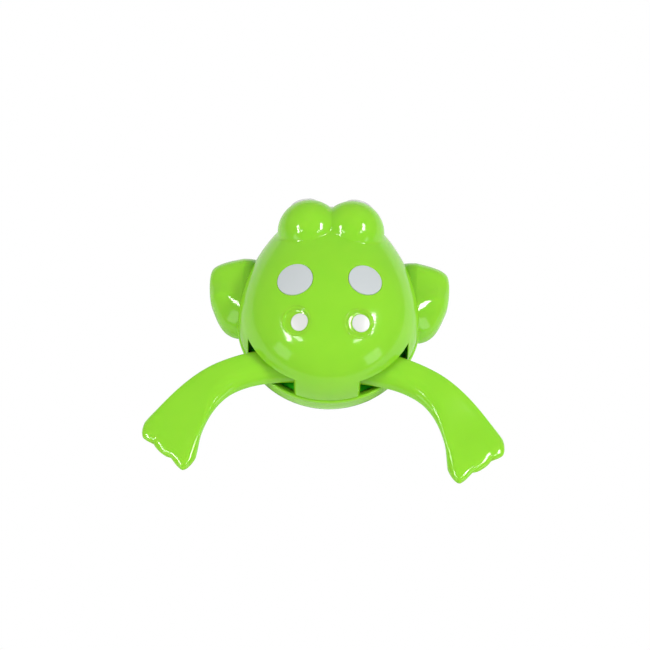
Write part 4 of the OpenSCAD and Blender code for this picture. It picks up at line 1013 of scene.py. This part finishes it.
def softbox(name, direction, size, power_w, along=(0, 0, 1)):
    """Area light out along a direction from the toy's middle, facing it, its length laid along another."""
    data = bpy.data.lights.new(name, "AREA")
    data.shape = "RECTANGLE"
    data.size, data.size_y = size
    data.energy = power_w
    o = bpy.data.objects.new(name, data)
    d = Vector(direction).normalized()
    y = Vector(along) - d * d.dot(Vector(along))
    y.normalize()
    spin = Matrix((y.cross(d), y, d)).transposed().to_4x4()
    spin.translation = Vector(TOY_MIDDLE) + d * LIGHT_AWAY
    o.matrix_world = spin
    bpy.context.scene.collection.objects.link(o)


# Two long narrow boxes stand over the two sides, two small ones light the dimples' rear rims, and two dim
# panels stand low behind the toy
softbox("strip_right", (0.64, -0.06, 0.77), (0.13, 0.34), 4.6, along=(0, 1, 0.25))
softbox("strip_left", (-0.67, -0.22, 0.71), (0.09, 0.42), 3.0, along=(0, 0.96, 0.27))
softbox("small_right", (0.50, -0.38, 0.77), (0.07, 0.16), 0.45, along=(1, 0.7, 0))
softbox("small_left", (-0.50, -0.38, 0.77), (0.07, 0.16), 0.45, along=(-1, 0.7, 0))
softbox("panel_right", (0.77, -0.59, 0.22), (0.30, 0.30), 0.6)
softbox("panel_left", (-0.77, -0.56, 0.30), (0.30, 0.30), 0.5)

# Camera, as the photograph was taken: its elevation and roll, its distance in metres, the size of a pixel at
# the toy, the photograph's width in pixels, and the pixel of the body's middle at the belly's rim
EL, ROLL = math.radians(60), math.radians(1.5)
DIST, PIX, PHOTO_W, MIDDLE_PX = 0.700, 0.35 * MM, 650, (328.6, 323.3)
SENSOR_MM = 36
back_dir = Vector((0, -math.cos(EL), math.sin(EL)))
cam_data = bpy.data.cameras.new("camera")
cam = bpy.data.objects.new("camera", cam_data)
bpy.context.scene.collection.objects.link(cam)
bpy.context.scene.camera = cam
cam_data.sensor_width = SENSOR_MM
cam_data.lens = SENSOR_MM * DIST / (PHOTO_W * PIX)
right = Vector((1, 0, 0))
up = Vector((0, math.sin(EL), math.cos(EL)))
r2 = right * math.cos(ROLL) + up * math.sin(ROLL)
u2 = up * math.cos(ROLL) - right * math.sin(ROLL)
half_w = PHOTO_W / 2
aim = Vector((0, 0, BELLY_H * MM)) - r2 * (MIDDLE_PX[0] - half_w) * PIX - u2 * (half_w - MIDDLE_PX[1]) * PIX
m = Matrix((r2, u2, back_dir)).transposed().to_4x4()
m.translation = aim + back_dir * DIST
cam.matrix_world = m
cam_data.clip_start, cam_data.clip_end = 0.01, 20

bpy.context.scene.view_settings.view_transform = "Standard"
